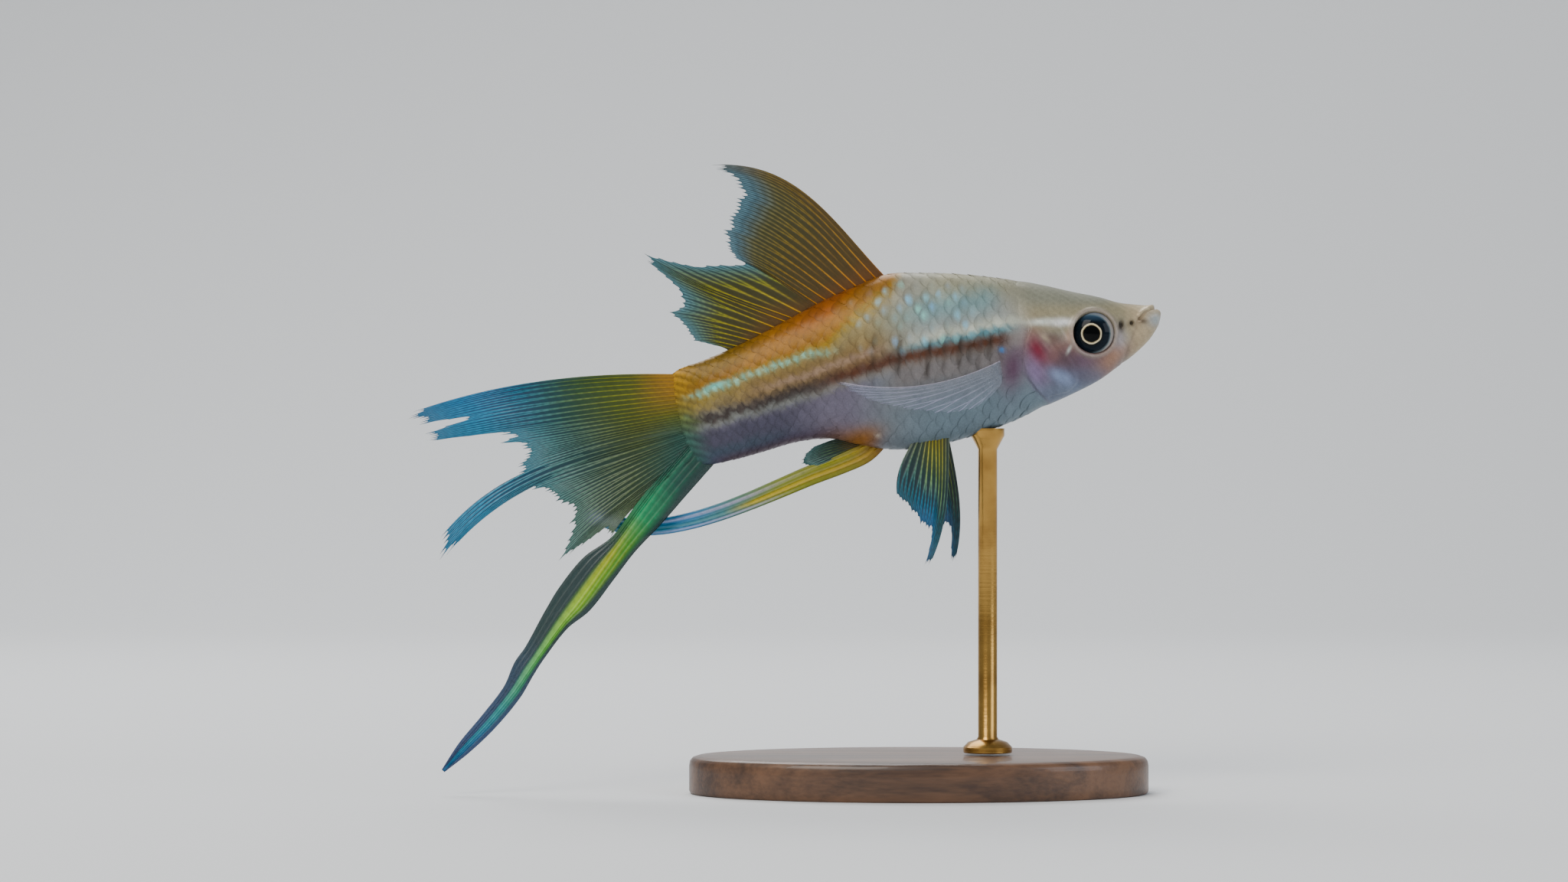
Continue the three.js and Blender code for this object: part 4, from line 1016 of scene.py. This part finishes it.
rayed_fin(
    "dorsal_sail", "dorsal_fin_front", DORSAL_SAIL, dorsal_base, median, dorsal_shades,
    skew=0.6, late=0.45,
)
rayed_fin(
    "dorsal_lobe", "dorsal_fin_rear", DORSAL_LOBE, dorsal_base, median, lobe_shades,
    skew=0.6, late=0.4,
)

# The tail fin
# A lyre-shaped fan: a long upper lobe that ends in blue points, a thin trailing branch from the middle,
# and a lower web beside the sword. Olive at the root, it darkens to teal and ends in bright blue.

TAIL_UPPER = [
    (0.0, -66.7, 49.4, 0.05, 1, 0), (0.07, -66.5, 48.6, 0.046, 1, 0), (0.15, -65.6, 47.9, 0.035, 1, 0.14),
    (0.24, -65.0, 46.7, 0.022, 1, 0), (0.33, -64.6, 45.9, 0.012, 1, 0), (0.4, -64.4, 45.4, 0.0, 0.72, 0),
    (0.46, -52.6, 45.6, 0.0, 1, 0), (0.515, -51.8, 44.1, 0.012, 1, 0), (0.575, -52.5, 42.5, 0.03, 1, 0),
    (0.625, -53.0, 40.6, 0.03, 1, 0),
]
TAIL_MIDDLE = [
    (0.605, -63.3, 31.9, 0.1, 1, 0), (0.635, -62.4, 30.4, 0.092, 1, 0), (0.665, -61.3, 31.2, 0.078, 1, 0),
]
TAIL_LOWER = [
    (0.65, -52.6, 40.2, 0.022, 1, 0), (0.69, -49.8, 39.4, 0.0, 1, 0), (0.725, -48.0, 38.5, 0.01, 1, 0),
    (0.765, -45.9, 36.8, 0.02, 1, 0), (0.805, -45.6, 34.6, 0.02, 1, 0), (0.84, -47.1, 30.2, 0.03, 1, 0),
    (0.875, -45.2, 31.4, 0.03, 1, 0), (0.91, -41.2, 34.3, 0.02, 1, 0), (0.93, -40.5, 32.9, 0.055, 1, 0),
]


def tail_base(share):
    """Where the rays are rooted, down the end of the flesh."""
    return -30.6 + 2.6 * share, 54.7 - 11.0 * share


def tail_shades(across, v, points):
    x, _, z = points.T
    at = np.clip((-30 - x) / 36, 0, 1)
    high = smooth(z + 0.15 * (x + 32), 42, 52)
    past_root = smooth(-x, 31, 38)
    rays = tint(
        [(0, "#a88a10"), (0.25, "#868a20"), (0.45, "#4f7040"), (0.62, "#2f7f9a"), (0.85, "#3a98d0"),
         (1, "#2f86b4")],
        at
    )
    web = tint(
        [(0, "#7a6408"), (0.2, "#5a6210"), (0.4, "#2c5230"), (0.58, "#10506a"), (0.8, "#0a5c9a"),
         (1, "#0d6490")],
        at
    )
    low_rays = tint(
        [(0, "#6c7440"), (0.3, "#66785a"), (0.5, "#5a8a88"), (0.75, "#4a9cc0"), (1, "#2f80a8")], at
    )
    low_web = tint(
        [(0, "#3c4c1c"), (0.25, "#28442c"), (0.45, "#184850"), (0.7, "#145c80"), (1, "#0c4a6c")], at
    )
    rays, web = mix(low_rays, rays, high), mix(low_web, web, high)
    # the pale tip of the gonopodium shows through the web from the far side
    shows = 0.5 * hill(line_distance(x, z, [(-35, 34.8), (-38, 34.9), (-41.2, 35.6), (-42.6, 36.1)]), 0.9)
    web = mix(web, pigment("#a8b8cc"), shows)
    return mix(tail_root(z) * 1.3, rays, past_root), mix(tail_root(z) * 1.45, web, past_root)


for part, ray_set, skew, rows in (
    ("upper", TAIL_UPPER, 0.1, 150), ("middle", TAIL_MIDDLE, 0.5, 130), ("lower", TAIL_LOWER, 0.5, 100)
):
    rayed_fin(
        f"tail_{part}", f"tail_fin_{part}", ray_set, tail_base, median, tail_shades,
        skew=skew, rows=rows,
    )

# The sword and the gonopodium
# The sword is the tail's lower edge drawn out: a green and yellow band with a bright core that ends
# blue. The gonopodium is the male's long tube-like fin, trailing on the far side of the tail.

# middle x, middle z, width to the rear or above, width to the front or below
SWORD = np.array(
    [
        (-28.6, 46.3, 0.9, 3.6), (-32.8, 41.4, 1.0, 3.5), (-36.0, 37.1, 1.1, 3.1),
        (-39.0, 32.9, 1.2, 2.4), (-41.5, 29.3, 2.7, 2.2), (-44.5, 25.1, 3.0, 2.0),
        (-46.7, 22.2, 2.6, 1.1), (-49.6, 18.1, 2.0, 0.9), (-51.0, 16.1, 2.0, 1.0),
        (-53.0, 13.3, 1.3, 1.3), (-56.0, 9.6, 1.15, 1.25), (-59.2, 6.2, 0.85, 1.0),
        (-61.9, 3.2, 0.2, 0.3),
    ]
)
GONOPODIUM = np.array(
    [
        (-4.6, 46.4, 1.1, 1.0), (-7.0, 44.5, 1.35, 1.35), (-10.0, 43.1, 1.3, 1.35),
        (-14.0, 41.6, 1.3, 1.35), (-18.0, 39.9, 1.25, 1.3), (-22.0, 38.2, 1.2, 1.2),
        (-26.0, 36.7, 1.15, 1.15), (-30.0, 35.5, 1.15, 1.1), (-34.0, 34.8, 1.1, 1.1),
        (-38.0, 34.8, 1.1, 1.05), (-41.2, 35.6, 1.0, 0.9), (-43.9, 36.6, 0.45, 0.45),
    ]
)


RIDGE_WIDTH, RIDGE_RISE = 0.075, 0.14  # as a share of the fin's half width, and in mm
BAND_ROWS, BAND_COLUMNS = 260, 44  # points along the fin, and across one of its faces


def band_fin(name, node, stations, side, ridges, shades, half=0.12):
    """A long narrow fin along a middle line, with ridges at the given places across it.

    half is half its thickness in mm, and shades(over, v, ridge, points) gives its colours and alpha."""
    knots = np.concatenate([[0], np.cumsum(np.hypot(*np.diff(stations[:, :2], axis=0).T))])

    def strength(over):
        return np.max([hill(over - place, RIDGE_WIDTH) for place in ridges], axis=0)

    def leaf(u):
        around = 2 * u
        return np.where(around < 1, -1.0, 1.0), np.where(around < 1, around, 2 - around) * 2 - 1

    def place(u, v):
        face, over = leaf(u)
        at = v * knots[-1]
        x, z, rear, front = smooth_rows(stations, knots, at).T
        ahead, behind = (smooth_rows(stations, knots, np.clip(at + d, 0, knots[-1])) for d in (0.1, -0.1))
        dx, dz = ahead[:, 0] - behind[:, 0], ahead[:, 1] - behind[:, 1]
        length = np.hypot(dx, dz)
        reach = np.where(over < 0, -over * rear, -over * front)
        x, z = x + dz / length * reach, z - dx / length * reach
        edge = smooth(1 - np.abs(over), 0, 0.16)
        thick = (half + RIDGE_RISE * strength(over)) * (0.2 + 0.8 * edge) * (np.abs(over) < 0.999)
        thick = thick * smooth(-v, -1, -0.97) * smooth(v, 0, 0.02)
        return x, side(x, z) + face * thick, z

    def paint(u, v, points):
        _, over = leaf(u)
        colour, alpha = shades(over, v, strength(over), points)
        joint = 1 - 0.16 * (np.sin(v * BAND_ROWS * 0.9) > 0.3) * strength(over)
        grain = joint * (1 + 0.1 * speckle(*points.T, 0.4))
        return np.column_stack([deepen(colour, 0.88, 1.2) * grain[:, None], alpha])

    fin = shape_grid(name, 2 * BAND_COLUMNS, BAND_ROWS, place, paint)
    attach(fin, "root")
    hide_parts(node)
    fin.data.materials.append(web_material)


def sword_shades(over, v, ridge, points):
    core = tint(
        [(0, "#122e2a"), (0.12, "#113e36"), (0.22, "#14704a"), (0.3, "#2c7a1c"), (0.48, "#5f941c"),
         (0.62, "#4a9434"), (0.75, "#2c8264"), (0.88, "#175e8a"), (1, "#104c74")],
        v
    )
    bright = tint(
        [(0, "#1f4a40"), (0.12, "#266a4e"), (0.23, "#1f9660"), (0.35, "#a8ac3c"), (0.5, "#a4c850"),
         (0.65, "#7cc474"), (0.8, "#429894"), (1, "#206e98")],
        v
    )
    margin = tint(
        [(0, "#12302e"), (0.3, "#0a2e2c"), (0.6, "#08302f"), (0.85, "#0a3a62"), (1, "#0a3460")], v
    )
    rear_edge = smooth(-over, 0.02, 0.36) * smooth(v, 0.2, 0.35)
    front_edge = smooth(over + 0.2 * smooth(v, 0.3, 0.5), 0.55, 0.95)
    colour = mix(core, bright, 0.75 * hill(over + 0.02, 0.22) + 0.35 * ridge)
    colour = mix(colour, margin, np.maximum(rear_edge, front_edge))
    return colour, 0.97 - 0.12 * np.maximum(rear_edge, front_edge)


def gonopodium_shades(over, v, ridge, points):
    core = tint(
        [(0, "#8a5a14"), (0.12, "#75700e"), (0.35, "#6a7418"), (0.5, "#3f6a58"), (0.65, "#1c6a94"),
         (0.85, "#2c7aa4"), (1, "#5a9ab4")],
        v
    )
    lines = tint(
        [(0, "#b08a2c"), (0.2, "#8f9030"), (0.35, "#a8a884"), (0.5, "#b8b8d0"), (0.7, "#a8b4dc"),
         (1, "#88b4cc")],
        v
    )
    gold = tint([(0, "#9a7a18"), (0.3, "#b8a018"), (0.45, "#c0a820"), (0.55, "#5a8a8a"), (1, "#3f80a0")], v)
    colour = mix(core, gold, 0.8 * hill(over - 0.25, 0.25))
    lit = 0.9 * hill(over + 0.5, 0.16) + 0.7 * hill(over - 0.72, 0.12) * smooth(v, 0.2, 0.45)
    return mix(colour, lines, lit), np.full(len(v), 0.98)


def trailing(x, z):
    """The gonopodium swings to the far side of the tail."""
    return bend(x) + 0.0036 * np.maximum(0, -9 - x) ** 2


band_fin("sword", "tail_fin_sword", SWORD, median, (-0.62, -0.35, -0.12, 0.12, 0.35, 0.6), sword_shades)
band_fin(
    "gonopodium_tube", "gonopodium", GONOPODIUM, trailing, (-0.55, 0.0, 0.45), gonopodium_shades, half=0.2
)

# The anal fin's web
# A short dark web behind the root of the gonopodium, thin enough to see light through.

ANAL_FIN = [
    (0.0, -11.8, 46.0, 0.02, 1, 0), (0.25, -13.9, 45.2, 0.02, 1, 0), (0.5, -15.3, 44.0, 0.015, 1, 0),
    (0.75, -15.4, 43.0, 0.01, 1, 0), (1.0, -13.6, 42.3, 0.01, 1, 0),
]


def anal_base(share):
    """Where the rays are rooted, behind the vent."""
    return -8.6 + 1.4 * share, 46.6 - 1.2 * share


def anal_shades(across, v, points):
    rays = tint([(0, "#8a6a20"), (0.4, "#4a5a2c"), (1, "#3f7070")], v)
    web = tint([(0, "#5a4010"), (0.4, "#20382c"), (1, "#123c44")], v)
    return rays, web


rayed_fin("anal_web", "anal_fin", ANAL_FIN, anal_base, median, anal_shades, rows=40)

# The pelvic fins
# A pair under the belly, held a little apart and folded back, each with two rays drawn out in a long
# blue point. Yellow light runs down the middle rays, and the web is dark teal.

PELVIC_FIN = [
    (0.0, 1.2, 29.8, -0.06, 1, 0), (0.2, 0.5, 29.7, -0.06, 1, 0.08), (0.4, 1.5, 34.3, -0.03, 1, 0),
    (0.57, 0.1, 35.1, -0.01, 1, 0), (0.75, -1.4, 37.3, 0.02, 1, 0), (1.0, -2.9, 38.9, 0.09, 1, 0),
]
PELVIC_X, PELVIC_Z = 3.9, 46.9  # the front end of the root
PELVIC_SIDE, PELVIC_SPLAY, PELVIC_PIVOT = 1.9, 0.16, (1.7, 46.75)


def pelvic_base(share):
    """Where the rays are rooted, from front to rear."""
    return PELVIC_X - 4.4 * share, PELVIC_Z - 0.3 * share


def pelvic_shades(across, v, points):
    rays = tint([(0, "#b0a040"), (0.2, "#c8c060"), (0.45, "#86a460"), (0.7, "#2f7080"), (1, "#2470a0")], v)
    web = tint([(0, "#6a6428"), (0.2, "#4a5a24"), (0.45, "#143c38"), (0.75, "#0a3448"), (1, "#0c4468")], v)
    outer = smooth(np.abs(across - 0.42), 0.12, 0.4)
    return mix(rays, pigment("#2c6066"), 0.7 * outer), mix(web, pigment("#0e343a"), 0.75 * outer)


for name, side, swing in (("right", -1, 0.0), ("left", 1, 12.5)):
    rayed_fin(
        f"pelvic_{name}", f"pelvic_fin_{name}", PELVIC_FIN, pelvic_base,
        lambda x, z, side=side: side * (PELVIC_SIDE + PELVIC_SPLAY * (PELVIC_Z - z)),
        pelvic_shades, swing=np.radians(swing), pivot=PELVIC_PIVOT, rows=80,
    )

# The pectoral fins
# Clear paddles folded back along each flank from behind the gill cover. Only the rays show, pale
# lilac and brightest along the upper edge.

PECTORAL_FIN = [
    (0.0, -11.4, 53.9, 0.095, 1, 0), (0.09, -10.8, 53.3, 0.085, 1, 0), (0.19, -9.3, 52.3, 0.07, 1, 0),
    (0.3, -7.4, 51.4, 0.055, 1, 0), (0.41, -5.0, 50.6, 0.04, 1, 0), (0.52, -2.1, 50.0, 0.03, 1, 0),
    (0.64, 1.0, 49.6, 0.02, 1, 0), (0.76, 4.0, 49.5, 0.01, 1, 0), (0.88, 6.8, 50.0, 0.0, 1, 0),
    (1.0, 9.0, 51.6, 0.0, 1, 0),
]
PECTORAL_X, PECTORAL_Z = 10.9, 56.7  # the upper end of the root


def pectoral_base(share):
    """Where the rays are rooted, from top to bottom."""
    return PECTORAL_X - 0.3 * share, PECTORAL_Z - 3.3 * share


def pectoral_side(x):
    """How far the fin stands from the middle plane: it lies close along the flank."""
    reach = np.maximum(0, PECTORAL_X - x)
    return 4.7 + 1.25 * (1 - np.exp(-reach / 2.2)) + 0.085 * reach


def pectoral_shades(across, v, points):
    rays = tint([(0, "#98a0ac"), (0.4, "#b0b0c4"), (1, "#a8a8c4")], v)
    web = tint([(0, "#8e96a2"), (1, "#8890a0")], v)
    lead, lilac = hill(across, 0.05), pigment("#efe6fa")
    return mix(rays, lilac, lead), mix(web, lilac, 0.8 * lead)


for name, side in (("right", -1), ("left", 1)):
    rayed_fin(
        f"pectoral_{name}", f"pectoral_fin_{name}", PECTORAL_FIN, pectoral_base,
        lambda x, z, side=side: side * pectoral_side(x),
        pectoral_shades, mirror=-1, skew=0.0, rows=70, web_alpha=(0.3, 0.16),
        web_shade=1, ray_alpha=0.5, dense=1, fine=16, bars=0, ridge=(0.05, 0.02), splits=(0.55, 2),
    )
